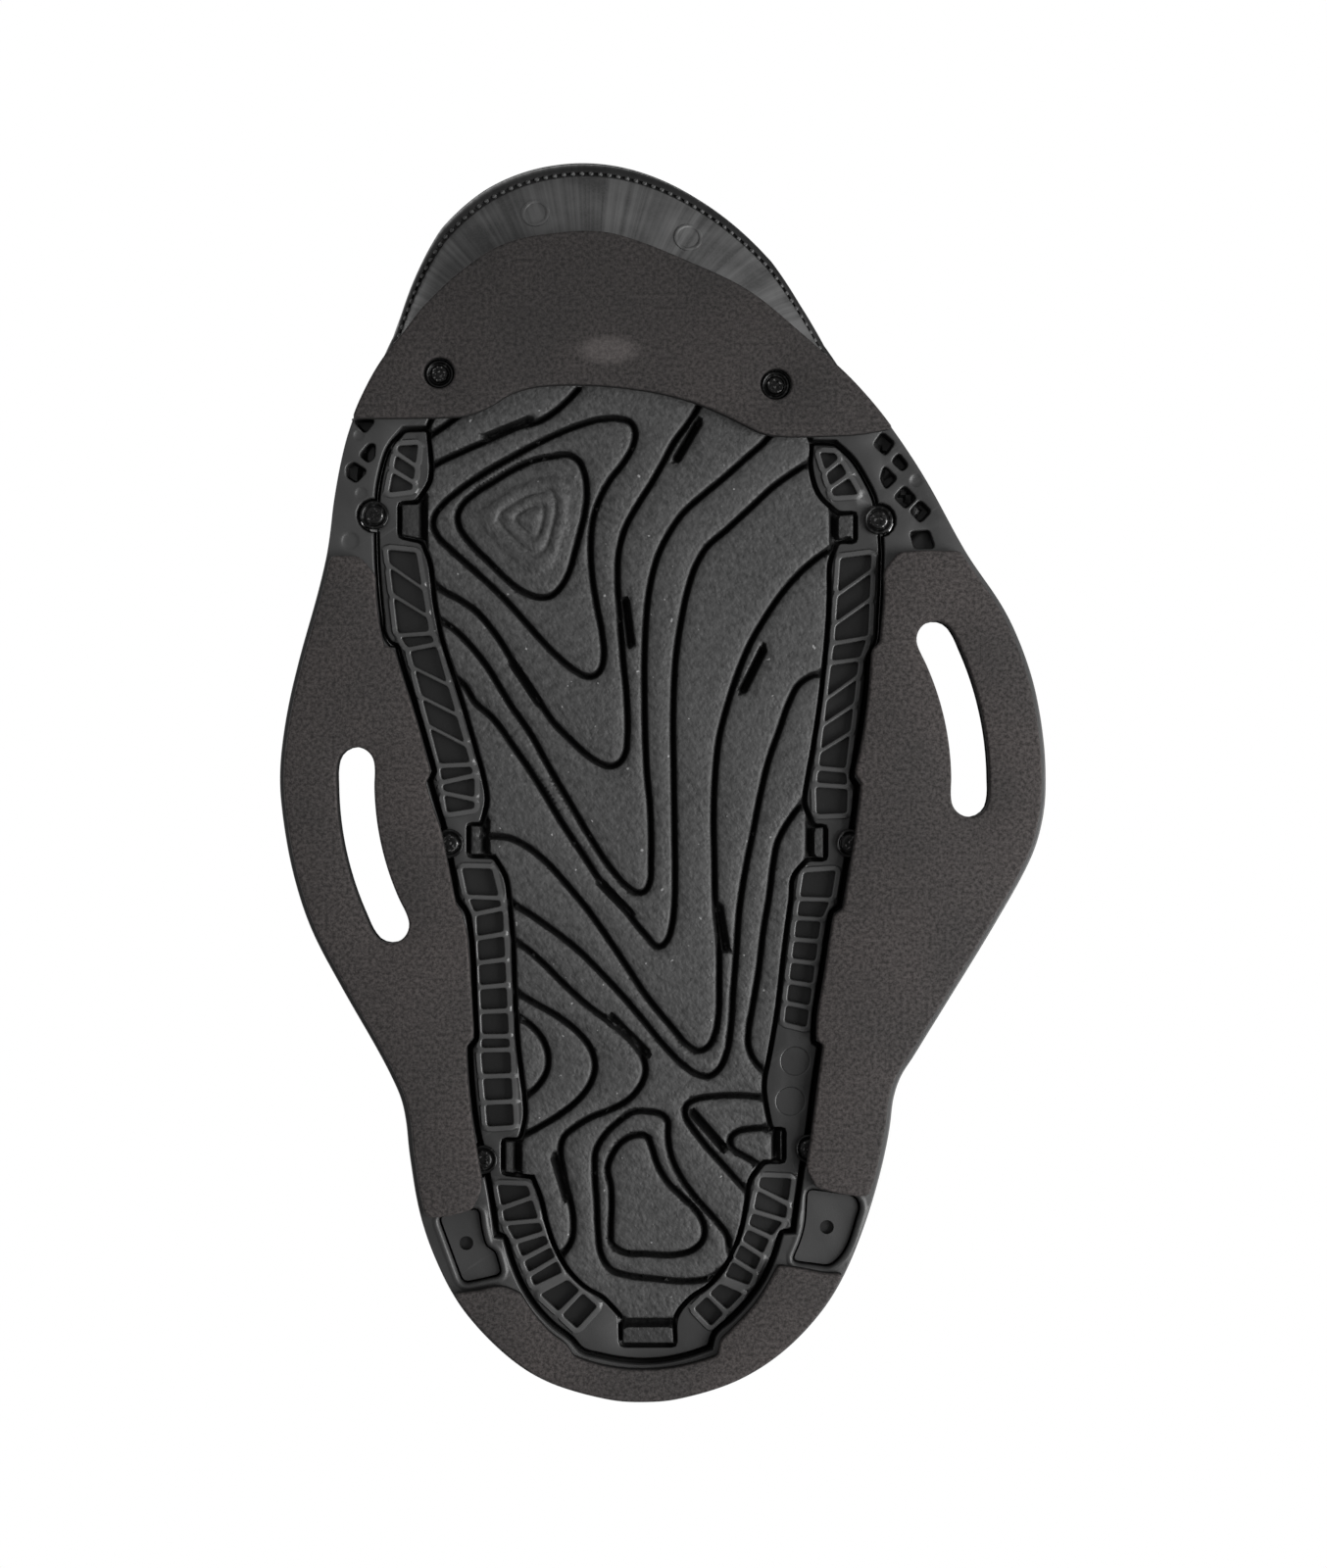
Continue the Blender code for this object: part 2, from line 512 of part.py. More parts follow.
def strap_point(strap, u, width, distance):
    """A point of a strap: where the way round u meets the plane `width` off the strap's middle."""
    (y0, z0), (ny, nz) = strap["at"], strap["along"]
    low, high = 24.0, 246.0
    for _ in range(30):
        z = (low + high) / 2
        point = boot_point(u, z)
        if (point.y - y0) * ny + (point.z - z0) * nz < width:
            low = z
        else:
            high = z
    return boot_offset(u, (low + high) / 2, distance)


def hinge_point(strap):
    """The middle of the straight line through the two corners of a strap's root."""
    corners = [strap_point(strap, strap["root"], side * strap["half"], middle(STRAP_LAYER))
               for side in (-1, 1)]
    return (corners[0] + corners[1]) / 2


def strap_panel(name, strap, start, end, layer, columns, slot, narrow=0.0):
    """A length of a strap between two positions on the way round."""
    def place(s, t):
        width = (strap["half"] - narrow) * (2 * t - 1)
        return strap_point(strap, start + (end - start) * s, width, middle(layer))
    return panel(name, place, columns, 3, layer, slot)


# ---------------------------------------------------------------- base
def slot_outline(turn):
    """A mounting slot along the bolt circle, with round ends."""
    start, end = SLOT_FROM + turn, SLOT_TO + turn
    ends = [(BOLT_RADIUS * math.cos(math.radians(a)), BOLT_RADIUS * math.sin(math.radians(a)))
            for a in (start, end)]
    outer = arc((0, 0), BOLT_RADIUS + SLOT_HALF_WIDTH, start, end, 8)
    inner = arc((0, 0), BOLT_RADIUS - SLOT_HALF_WIDTH, end, start, 8)
    far_end = arc(ends[1], SLOT_HALF_WIDTH, end, end + 180, 8)[1:-1]
    near_end = arc(ends[0], SLOT_HALF_WIDTH, start + 180, start + 360, 8)[1:-1]
    return outer + far_end + inner + near_end


def frame_ring(clearance):
    """The sole frame's outer outline, grown by a clearance, closed across the toe side."""
    closed = FRAME_OUTER + [FRONT_EDGE]
    return inset(outline_points(closed, 6.0), -clearance)


def window_outlines():
    """The ladder's windows, bay by bay, each a quadrilateral between slanted ribs."""
    outlines = []
    for outer_a, inner_a, outer_b, inner_b, count, slant in WINDOW_BAYS:
        oa, ia, ob, ib = (Vector(p) for p in (outer_a, inner_a, outer_b, inner_b))
        length = ((ob - oa).length + (ib - ia).length) / 2

        def at(along, across):
            """Point at `along` mm down the bay and `across` from the outer (0) to the inner side."""
            share = along / length
            return (oa.lerp(ob, share)).lerp(ia.lerp(ib, share), across)

        width = ((ia - oa).length + (ib - ob).length) / 2
        near, far = WALL / width, 1 - WALL / width
        pitch = (length - RIB) / count
        for k in range(count):
            start, end = RIB + k * pitch, (k + 1) * pitch
            shift = slant / 2
            first = 0 if k == 0 else shift
            last = 0 if k == count - 1 else shift
            quad = [at(start - first, near), at(end - last, near), at(end + last, far),
                    at(start + first, far)]
            outlines.append([(p.x, p.y) for p in quad])
    return outlines


def make_chassis():
    """Slotted plate with a cradle wall round the boot, core-outs, screw seats and heel pockets."""
    outline = outline_points(CHASSIS_OUTLINE, 6.0)
    chassis = prisms("chassis", [(outline, CHASSIS_BOTTOM, CHASSIS_TOP)], NYLON)
    cradle = make_cradle()
    boolean(chassis, cradle, "UNION")
    hole = prisms("chassis_opening", [(frame_ring(GAP), 0, CHASSIS_TOP + 2)])
    boolean(chassis, hole)
    slots = prisms("chassis_slots", [(slot_outline(0), 0, 12), (slot_outline(180), 0, 12)])
    boolean(chassis, slots)
    boolean(chassis, prisms("chassis_screw_holes", screw_holes(FRAME_SCREWS + TOE_SCREWS)))
    boolean(chassis, prisms("chassis_seats", screw_seats()))
    shallow = [(points, 0, CHASSIS_BOTTOM + 2.4) for points in CHASSIS_POCKETS]
    shallow += [(circle((x, y), r, 16), 0, CHASSIS_BOTTOM + 0.35) for x, y, r in EJECTOR_MARKS]
    shallow += [(points, 0, CHASSIS_BOTTOM + 1.8) for points, _ in HEEL_POCKETS]
    boolean(chassis, prisms("chassis_pockets", shallow))
    boolean(chassis, prisms("heel_holes", [(circle(at, 1.6, 12), 0, 12) for _, at in HEEL_POCKETS]))
    return chassis


def make_cradle():
    """The chassis wall that holds the boot's heel and sides, as a body to join on."""
    foot = CHASSIS_TOP - 2.1

    def top(s):
        """Height of the wall: low at the front ends, highest behind the heel."""
        ramp = min(1.0, 10 * min(s, 1 - s))
        shoulder = CRADLE_SHOULDER * math.sin(math.pi / 2 * ramp)
        return CRADLE_LOW + shoulder + CRADLE_RISE * math.sin(math.pi * s) ** 2

    def place(s, t):
        z = foot + (top(s) - foot) * t
        u = wrap(CRADLE_FROM + (1 - 2 * CRADLE_FROM) * s)
        point = boot_offset(u, max(z, 18), middle(CRADLE_LAYER), level=True)
        point.z = z
        return point
    return panel("chassis_cradle", place, 36, 3, CRADLE_LAYER)


def screw_holes(centres):
    """Through holes for screws."""
    return [(circle(at, HOLE_RADIUS, 12), 0, CHASSIS_TOP + 3) for at in centres]


def screw_seats():
    """Counterbores that the cup washers of the frame screws sit in."""
    return [(circle(at, SEAT_RADIUS, 24), 0, FRAME_BOTTOM) for at in FRAME_SCREWS]


def make_sole_frame():
    """The ladder frame: a U of two rails with windowed bays, notches for the tread's tabs."""
    ring = FRAME_OUTER + FRAME_INNER
    frame = prisms("sole_frame", [(outline_points(ring, 6.0), FRAME_BOTTOM, FRAME_TOP)], FRAME_NYLON)
    windows = [(points, 0, FRAME_BOTTOM + WINDOW_DEPTH) for points in window_outlines()]
    boolean(frame, prisms("frame_windows", windows))
    boolean(frame, prisms("frame_screw_holes", screw_holes(FRAME_SCREWS)))
    marks = [(circle(at, 3.5, 20), 0, FRAME_BOTTOM + GAP) for at in BAY_MARKS]
    boolean(frame, prisms("frame_marks", marks))
    return frame


def make_tread():
    """The rubber outsole inside the frame, with tabs that sit in the frame's notches."""
    outline = inset(outline_points(FRAME_INNER + [FRONT_EDGE[::-1]], 6.0), 0.7)
    return prisms("tread", [(outline, TREAD_BOTTOM, FRAME_TOP)], RUBBER)


def make_pad(name, edge, edge_inset, slots=(), holes=()):
    """A base pad: the chassis outline, drawn in a little, where it lies inside the pad's region."""
    outline = inset(outline_points(CHASSIS_OUTLINE, 6.0), edge_inset)
    pad = prisms(name, [(outline, 0, PAD_TOP)], EVA)
    region = prisms(name + "_region", [(outline_points(edge, 6.0), -2, PAD_TOP + 2)])
    boolean(pad, region, "INTERSECT")
    cuts = [(slot_outline(turn), -2, 12) for turn in slots]
    cuts += [(circle(at, SEAT_RADIUS, 24), -2, 12) for at in holes]
    if cuts:
        boolean(pad, prisms(name + "_cuts", cuts))
    return pad


def make_fasteners():
    """Screws, cup washers and nuts, one of each at every sole screw."""
    hole = SCREW_RADIUS + 0.35
    places = [(f"frame_{k}", at, FRAME_BOTTOM) for k, at in enumerate(FRAME_SCREWS, start=1)]
    places += [(f"toe_{k}", at, CHASSIS_BOTTOM) for k, at in enumerate(TOE_SCREWS, start=1)]
    for label, at, seat in places:
        low = seat - WASHER_HEIGHT
        dish = seat - DISH_DEPTH
        top = seat - 0.1
        rim = WASHER_RADIUS - WASHER_RIM
        turned(f"washer_{label}",
               [(hole, top), (WASHER_RADIUS, top), (WASHER_RADIUS, low + 0.25),
                (WASHER_RADIUS - 0.45, low), (rim, low), (rim - 0.25, dish), (hole, dish),
                (hole, top)], at, STEEL, 14)
        turned(f"screw_{label}",
               [(0, SCREW_TOP), (SCREW_RADIUS, SCREW_TOP), (SCREW_RADIUS, dish - 0.1),
                (SCREW_HEAD_RADIUS, dish - 0.1), (SCREW_HEAD_RADIUS - 0.15, low + 0.05),
                (SCREW_RADIUS, low - 0.12), (SOCKET_RADIUS, low - 0.15), (SOCKET_RADIUS, dish),
                (0, dish)], at, STEEL, 10)
        turned(f"nut_{label}",
               [(hole, NUT_TOP), (NUT_CROWN_RADIUS, NUT_TOP), (NUT_CROWN_RADIUS, NUT_SHOULDER),
                (NUT_RADIUS, NUT_SHOULDER), (NUT_RADIUS, NUT_LOW), (hole, NUT_LOW),
                (hole, NUT_TOP)], at, STEEL, 8)


# ---------------------------------------------------------------- sole
def level_outline(z, distance, count=40):
    """The boot's outline at a height, moved outwards by a distance."""
    points = []
    for k in range(count):
        point = boot_offset(wrap(k / count), z, distance, level=True)
        points.append((point.x, point.y))
    return points


def loft(name, levels, slot):
    """A solid through level outlines, given as (z, points) with equal point counts."""
    bm = bmesh.new()
    rings = [[bm.verts.new((x * MM, y * MM, z * MM)) for x, y in points] for z, points in levels]
    count = len(rings[0])
    for low, high in zip(rings, rings[1:]):
        for k in range(count):
            bm.faces.new((low[k], low[(k + 1) % count], high[(k + 1) % count], high[k]))
    bm.faces.new(rings[0][::-1])
    bm.faces.new(rings[-1])
    bmesh.ops.recalc_face_normals(bm, faces=bm.faces)
    mesh = bpy.data.meshes.new(name)
    bm.to_mesh(mesh)
    bm.free()
    smooth_shade(mesh, 40)
    return add_object(name, mesh, slot)


def make_sole():
    """Rubber cupsole that rises round the toe, the lasting board in it and the footbed on top."""
    heights = (8.8, 10.5, 13, 16, 19, SOLE_TOP)
    cupsole = loft("cupsole", [(z, level_outline(z, 0)) for z in heights], RUBBER)
    nut_room = [(circle(at, NUT_ROOM_RADIUS, 16), 5, NUT_ROOM_TOP) for at in FRAME_SCREWS + TOE_SCREWS]
    boolean(cupsole, prisms("cupsole_nut_room", nut_room))
    tray = [(level_outline(20, -CUPSOLE_WALL), CUPSOLE_FLOOR, SOLE_TOP + 2)]
    boolean(cupsole, prisms("cupsole_tray", tray))
    board_low = CUPSOLE_FLOOR + GAP
    board_top = board_low + BOARD_THICKNESS
    board = [(level_outline(20, -CUPSOLE_WALL - 0.4), board_low, board_top)]
    prisms("lasting_board", board, BOARD)
    rim = level_outline(SOLE_TOP, -FOOTBED_INSET)
    crown = level_outline(SOLE_TOP, -FOOTBED_INSET - 1.4)
    loft("footbed", [(board_top + GAP, rim), (FOOTBED_TOP - 1.4, rim), (FOOTBED_TOP, crown)], LINING)


# ---------------------------------------------------------------- upper
VAMP_EDGE = [(22, 0.213), (60, 0.175), (74, 0.122), (84, THROAT + 0.004), (90, THROAT), (250, THROAT)]
SEAM_GAP = 0.0011        # half the gap at a seam, as a share of the way round
LEVEL_SEAM_GAP = 0.6     # gap in height at a seam that runs round the boot
BACK_SEAM_GAP = 0.0012
LINING_SEAM_GAP = 0.0035 # the linings lie inside the curve, where a share is shorter
LINING_THROAT = THROAT + 0.012


def vamp_edge(z):
    """Where the vamp ends and the quarters start, as a position on the way round."""
    return table_value(VAMP_EDGE, z)


def lining_edge(z):
    """Where the vamp's lining ends and the quarters' lining starts."""
    return max(vamp_edge(z), LINING_THROAT)


def make_upper():
    """Toe cap, vamp, quarters, cuffs, heel counter, the linings, collar and instep gusset."""
    bottom = SOLE_TOP + GAP
    front_panel("toe_cap", lambda z: vamp_edge(z) - SEAM_GAP, bottom, TOE_CAP_TOP, LEATHER_LAYER,
                20, 5, LEATHER)
    front_panel("vamp", lambda z: vamp_edge(z) - SEAM_GAP, TOE_CAP_TOP + LEVEL_SEAM_GAP,
                THROAT_START, LEATHER_LAYER, 20, 5, LEATHER)
    front_panel("vamp_lining", lambda z: lining_edge(z) - 2 * SEAM_GAP, LINING_LOW,
                VAMP_LINING_TOP, LINING_LAYER, 16, 6, LINING)
    for label, side in (("outer", 1), ("inner", -1)):
        side_panel(f"{label}_quarter", side, lambda z: vamp_edge(z) + SEAM_GAP,
                   lambda z: 0.5 - BACK_SEAM_GAP, bottom, CUFF_LOW, LEATHER_LAYER, 12, 7, LEATHER)
        side_panel(f"{label}_cuff", side, lambda z: vamp_edge(z) + SEAM_GAP,
                   lambda z: 0.5 - BACK_SEAM_GAP, CUFF_LOW + LEVEL_SEAM_GAP, CUFF_TOP,
                   LEATHER_LAYER, 12, 6, LEATHER)
        for piece, low, high in (("quarter", LINING_LOW, CUFF_LOW),
                                 ("cuff", CUFF_LOW + LEVEL_SEAM_GAP, LINING_TOP)):
            side_panel(f"{label}_{piece}_lining", side, lambda z: lining_edge(z) + 2 * SEAM_GAP,
                       lambda z: 0.5 - LINING_SEAM_GAP, low, high, LINING_LAYER, 10, 7, LINING)
    wrap_panel("heel_counter", lambda z: 0.335 + 0.0006 * max(0, z - 30), 38.5,
               lambda s: COUNTER_TOP + COUNTER_RISE * math.sin(math.pi * s) ** 2,
               COUNTER_LAYER, 16, 5, COUNTER)
    wrap_panel("collar", lambda z: LINING_THROAT, CUFF_TOP + 1.2, lambda s: COLLAR_TOP,
               COLLAR_LAYER, 24, 3, LINING)
    front_panel("instep_gusset", lambda z: THROAT - 0.006, THROAT_START + 0.8, TONGUE_HINGE - 1.4,
                GUSSET_LAYER, 6, 5, LINING)


def make_tongue():
    """The padded tongue, which hinges forward where it leaves the gusset, and its tab."""
    axis = boot_point(0, TONGUE_HINGE) * MM
    low = TONGUE_HINGE + 0.6
    front_panel("tongue", lambda z: THROAT - 0.007, low, low + TONGUE_LENGTH, TONGUE_LAYER,
                6, 14, LEATHER)
    front_panel("tongue_tab", lambda z: 0.026, 226, 244, TONGUE_TAB_LAYER, 3, 2, WEBBING)
    for name in ("tongue", "tongue_tab"):
        set_origin(bpy.data.objects[name], axis)


def make_straps():
    """Two hook-and-loop straps: a sewn base, the moving strap with its tip, and a landing patch."""
    for label, strap in (("lower", LOWER_STRAP), ("upper", UPPER_STRAP)):
        root, end = strap["root"], strap["end"]
        strap_panel(f"{label}_strap_base", strap, root - strap["base"], root - 0.007,
                    STRAP_BASE_LAYER, 4, WEBBING)
        strap_panel(f"{label}_strap", strap, root, end, STRAP_LAYER, 22, WEBBING)
        strap_panel(f"{label}_strap_tip", strap, end + 0.0015, end + 0.02, STRAP_TIP_LAYER,
                    2, COUNTER, 2.0)
        strap_panel(f"{label}_strap_patch", strap, end - 0.085, end + 0.012, PATCH_LAYER,
                    8, PILE, 3.0)
        for name in (f"{label}_strap", f"{label}_strap_tip"):
            set_origin(bpy.data.objects[name], hinge_point(strap) * MM)


def make_pull_loop():
    """The webbing loop at the back of the cuff, a D-shaped band across the back seam."""
    back = table_value(BACK, PULL_LOOP_MIDDLE) + 0.6
    reach, half = 8.0, 15.0
    outer = [(back, 200.0), (back + 4.5, 198.0)]
    outer += [(back + 5 + reach * math.sin(math.radians(a)),
               PULL_LOOP_MIDDLE - half * math.cos(math.radians(a))) for a in range(20, 161, 20)]
    outer += [(back + 6.2, 230.0), (back + 1.6, 228.0)]
    inner = inset(outer, PULL_LOOP_THICKNESS)
    side = PULL_LOOP_WIDTH / 2
    mesh = bpy.data.meshes.new("pull_loop")
    bm = bmesh.new()
    add_prism(bm, outer, -side, side)
    bmesh.ops.recalc_face_normals(bm, faces=bm.faces)
    bm.to_mesh(mesh)
    bm.free()
    loop = add_object("pull_loop", mesh, WEBBING)
    hole = prisms("pull_loop_hole", [(inner, -side - 3, side + 3)])
    boolean(loop, hole)
    for piece in (loop, hole):
        piece.rotation_euler = (math.pi / 2, 0, math.pi / 2)
        piece.location = (BACK_SEAM_X * MM, 0, 0)


def set_origin(piece, point):
    """Move a piece's origin to a point without moving its mesh in the world."""
    piece.data.transform(piece.matrix_world.inverted())
    for vertex in piece.data.vertices:
        vertex.co -= point
    piece.location = point


make_chassis()
make_sole_frame()
make_tread()
make_pad("toe_pad", TOE_PAD_EDGE, 0.2, holes=TOE_SCREWS)
make_pad("inner_wing_pad", INNER_PAD_EDGE, 2.0, slots=(180,))
make_pad("outer_wing_pad", OUTER_PAD_EDGE, 2.0, slots=(0,))
make_pad("heel_pad", HEEL_PAD_EDGE, 0.8)
make_fasteners()
make_sole()
make_upper()
make_tongue()
make_straps()
make_pull_loop()
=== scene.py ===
"""Looks of a left wakeboard boot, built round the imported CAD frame.

Metres, +Z up, the toe towards -Y, the outer side of the foot towards +X, the base pads on z = 0.
Tables and profiles are in millimetres, and MM scales them where a mesh is made.
"""
import math

import bmesh
import bpy
import numpy as np
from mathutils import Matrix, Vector, kdtree
from mathutils.geometry import delaunay_2d_cdt


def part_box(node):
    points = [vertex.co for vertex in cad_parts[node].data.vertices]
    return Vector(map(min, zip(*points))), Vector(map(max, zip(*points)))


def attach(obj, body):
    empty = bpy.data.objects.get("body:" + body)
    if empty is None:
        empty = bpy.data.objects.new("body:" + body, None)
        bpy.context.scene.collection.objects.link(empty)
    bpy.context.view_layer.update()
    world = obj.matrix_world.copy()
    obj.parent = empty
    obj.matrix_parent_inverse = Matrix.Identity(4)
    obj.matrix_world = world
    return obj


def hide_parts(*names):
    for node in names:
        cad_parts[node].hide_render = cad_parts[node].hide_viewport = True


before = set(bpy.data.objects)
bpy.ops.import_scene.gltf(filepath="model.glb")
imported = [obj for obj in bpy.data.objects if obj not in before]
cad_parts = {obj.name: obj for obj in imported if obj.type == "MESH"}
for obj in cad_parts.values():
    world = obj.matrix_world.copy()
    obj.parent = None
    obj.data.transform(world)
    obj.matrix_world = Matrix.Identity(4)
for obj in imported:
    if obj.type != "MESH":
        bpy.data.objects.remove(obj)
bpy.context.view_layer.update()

MM = 0.001

# Heights in the base, read from the frame
TREAD_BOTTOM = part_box("tread")[0].z / MM
TREAD_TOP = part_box("tread")[1].z / MM
FRAME_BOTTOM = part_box("sole_frame")[0].z / MM
FRAME_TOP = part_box("sole_frame")[1].z / MM
CHASSIS_BOTTOM = 3.8
CHASSIS_TOP = 8.5
PAD_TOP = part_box("heel_pad")[1].z / MM


# ---------------------------------------------------------------- mesh building
class Shape:
    """Collects points and faces in millimetres and makes one mesh object of them."""

    def __init__(self):
        self.points, self.faces, self.cloth = [], [], []

    def add(self, points):
        """Add points, given as (x, y, z), and return their indices."""
        start = len(self.points)
        self.points += [tuple(p) for p in points]
        return list(range(start, len(self.points)))

    def strip(self, low, high, closed=True):
        """Join two rows of equally many points with quads."""
        count = len(low)
        for k in range(count if closed else count - 1):
            n = (k + 1) % count
            self.faces.append((low[k], low[n], high[n], high[k]))

    def fan(self, row):
        """Close a row of points with one face."""
        self.faces.append(tuple(row))

    def grid(self, rows, closed=False):
        """Join rows of points, given as coordinates, into a sheet and return their indices."""
        made = [self.add(row) for row in rows]
        for low, high in zip(made, made[1:]):
            self.strip(low, high, closed)
        return made

    def cap(self, loops, height, extra=()):
        """Fill flat loops, the holes left open, with the z of each point from height(x, y)."""
        points = [p for loop in loops for p in loop] + list(extra)
        edges, start = [], 0
        for loop in loops:
            count = len(loop)
            edges += [(start + k, start + (k + 1) % count) for k in range(count)]
            start += count
        flat, _, faces, *_ = delaunay_2d_cdt([Vector(p) for p in points], edges, [], 0, 1e-5)
        flat = np.array([(p.x, p.y) for p in flat])
        faces = np.array(faces)
        keep = inside(flat[faces].mean(axis=1), loops)
        ids = self.add([(x, y, z) for (x, y), z in zip(flat, height(flat))])
        for a, b, c in faces[keep]:
            self.faces.append((ids[a], ids[b], ids[c]))

    def finish(self, name, finish, angle=40, body="root", weld=0.002):
        """Make the object, weld its seams, turn its faces out and let it ride on a body."""
        mesh = bpy.data.meshes.new(name)
        mesh.from_pydata([(x * MM, y * MM, z * MM) for x, y, z in self.points], [], self.faces)
        made = bpy.data.objects.new(name, mesh)
        bpy.context.scene.collection.objects.link(made)
        if self.cloth:
            along = mesh.attributes.new("cloth", "FLOAT_VECTOR", "POINT")
            along.data.foreach_set("vector", np.array(self.cloth, float).ravel())
        tidy_mesh(mesh, weld, angle)
        dress(made, finish)
        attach(made, body)
        return made


def tidy_mesh(mesh, weld, angle):
    """Weld coincident points, face outwards and shade smooth except at sharp edges."""
    bm = bmesh.new()
    bm.from_mesh(mesh)
    if weld:
        bmesh.ops.remove_doubles(bm, verts=bm.verts, dist=weld * MM)
        bmesh.ops.dissolve_degenerate(bm, edges=bm.edges, dist=weld * MM / 10)
    bmesh.ops.recalc_face_normals(bm, faces=bm.faces)
    bm.to_mesh(mesh)
    bm.free()
    mesh.shade_smooth()
    mesh.set_sharp_from_angle(angle=math.radians(angle))


def dress(piece, finish):
    """Give a piece its material."""
    piece.data.materials.clear()
    piece.data.materials.append(finish.material)


# ---------------------------------------------------------------- loops and curves
def inside(points, loops):
    """Even-odd test of points against closed loops."""
    result = np.zeros(len(points), bool)
    x, y = points[:, 0], points[:, 1]
    for loop in loops:
        a = np.array(loop)
        b = np.roll(a, -1, axis=0)
        for (xa, ya), (xb, yb) in zip(a, b):
            if ya != yb:
                crosses = (ya > y) != (yb > y)
                result ^= crosses & (x < (xb - xa) * (y - ya) / (yb - ya) + xa)
    return result


def within(points, loops):
    """Those of the points that lie inside closed loops."""
    points = np.array(points)
    return points[inside(points, loops)]


def lattice(low, high, step):
    """A square lattice of points from one corner to the other."""
    return [(x, y) for x in np.arange(low[0], high[0], step)
            for y in np.arange(low[1], high[1], step)]


def area(loop):
    """Signed area of a closed loop."""
    a, b = np.array(loop), np.roll(np.array(loop), -1, axis=0)
    return float((a[:, 0] * b[:, 1] - b[:, 0] * a[:, 1]).sum() / 2)


def flat_loops(node, height):
    """Edges of a CAD node's downward flat face at a height: the outline first, then its holes."""
    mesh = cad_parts[node].data
    directed = set()
    for face in mesh.polygons:
        corners = [mesh.vertices[v].co for v in face.vertices]
        if face.normal.z < -0.9 and all(abs(c.z / MM - height) < 0.02 for c in corners):
            keys = [(round(c.x / MM, 2), round(c.y / MM, 2)) for c in corners]
            directed.update(zip(keys, keys[1:] + keys[:1]))
    follow = {a: b for a, b in directed if (b, a) not in directed}
    loops = []
    while follow:
        start = min(follow)
        loop, here = [start], follow.pop(start)
        while here != start:
            loop.append(here)
            here = follow.pop(here)
        loops.append(loop)
    loops.sort(key=lambda loop: -abs(area(loop)))
    return [loop if (area(loop) > 0) == (k == 0) else loop[::-1] for k, loop in enumerate(loops)]


def run_lengths(points):
    """Distance along a line of points, from 0 at its first."""
    steps = np.linalg.norm(np.diff(points, axis=0), axis=1)
    return np.concatenate([[0], np.cumsum(steps)])


def between(t, span, first, last, first_slope, last_slope):
    """Smooth cubic from first to last, t being the share of the way and span its length."""
    return ((2 * t**3 - 3 * t**2 + 1) * first + (t**3 - 2 * t**2 + t) * span * first_slope
            + (3 * t**2 - 2 * t**3) * last + (t**3 - t**2) * span * last_slope)


def curve(points, spacing, closed=False):
    """Points about `spacing` apart on a smooth curve through the given ones."""
    p = np.array(points, float)
    if closed:
        p = np.vstack([p, p[:1]])
    at = run_lengths(p)
    if len(p) < 3:
        slope = np.repeat((p[1:] - p[:1]) / at[-1], len(p), axis=0)
    else:
        slope = np.gradient(p, at, axis=0)
        if closed:
            wrapped = (p[1] - p[-2]) / (at[1] + at[-1] - at[-2])
            slope[0] = slope[-1] = wrapped
    count = max(1, round(at[-1] / spacing))
    s = np.linspace(0, at[-1], count + 1)
    if closed:
        s = s[:-1]
    k = np.clip(np.searchsorted(at, s, side="right") - 1, 0, len(p) - 2)
    span = (at[k + 1] - at[k])[:, None]
    t = (s - at[k])[:, None] / span
    return between(t, span, p[k], p[k + 1], slope[k], slope[k + 1])


CLOSEST = 0.12           # points of a loop nearer than this are taken as one


def smooth_loop(loop, spacing, corner=38.0):
    """A closed loop resampled on smooth curves that meet in its corners (turns in degrees)."""
    p = [loop[0]]
    for point in loop[1:]:
        if math.dist(point, p[-1]) > CLOSEST:
            p.append(point)
    if math.dist(p[0], p[-1]) < CLOSEST:
        p.pop()
    a = np.array(p)
    into, out = a - np.roll(a, 1, axis=0), np.roll(a, -1, axis=0) - a
    turn = np.degrees(np.arctan2(into[:, 0] * out[:, 1] - into[:, 1] * out[:, 0],
                                 (into * out).sum(axis=1)))
    corners = [k for k in range(len(p)) if abs(turn[k]) > corner]
    if not corners:
        return [tuple(q) for q in curve(p, spacing, closed=True)]
    made = []
    for first, last in zip(corners, corners[1:] + [corners[0] + len(p)]):
        run = [p[k % len(p)] for k in range(first, last + 1)]
        made += [tuple(q) for q in curve(run, spacing)[:-1]]
    return made


def soften(loop, times):
    """Round a resampled loop's corners by averaging neighbours."""
    p = np.array(loop)
    for _ in range(times):
        p = (np.roll(p, 1, axis=0) + 2 * p + np.roll(p, -1, axis=0)) / 4
    return [tuple(q) for q in p]


def shift(loop, distance):
    """The loop moved to its left, which is into the material."""
    p = np.array(loop)
    into = p - np.roll(p, 1, axis=0)
    out = np.roll(p, -1, axis=0) - p
    into /= np.linalg.norm(into, axis=1)[:, None]
    out /= np.linalg.norm(out, axis=1)[:, None]
    dot = np.clip((into * out).sum(axis=1), -0.3, 1)
    left = np.stack([-(into + out)[:, 1], (into + out)[:, 0]], axis=1) / (1 + dot)[:, None]
    return [tuple(q) for q in p + left * distance]


def circle(centre, radius, count):
    """A closed circle, counter-clockwise."""
    angles = [2 * math.pi * k / count for k in range(count)]
    return [(centre[0] + radius * math.cos(a), centre[1] + radius * math.sin(a)) for a in angles]


def rounded(radius, wall, face, steps):
    """A rounded rim as (offset into the material, z), from the wall to the flat face."""
    turn = 1 if face > wall else -1
    rim = []
    for k in range(steps + 1):
        a = math.pi / 2 * k / steps
        rim.append((radius * (1 - math.cos(a)), face - turn * radius * (1 - math.sin(a))))
    return rim


DRILLED_DEEP = 2.0       # holes in a blind opening's floor


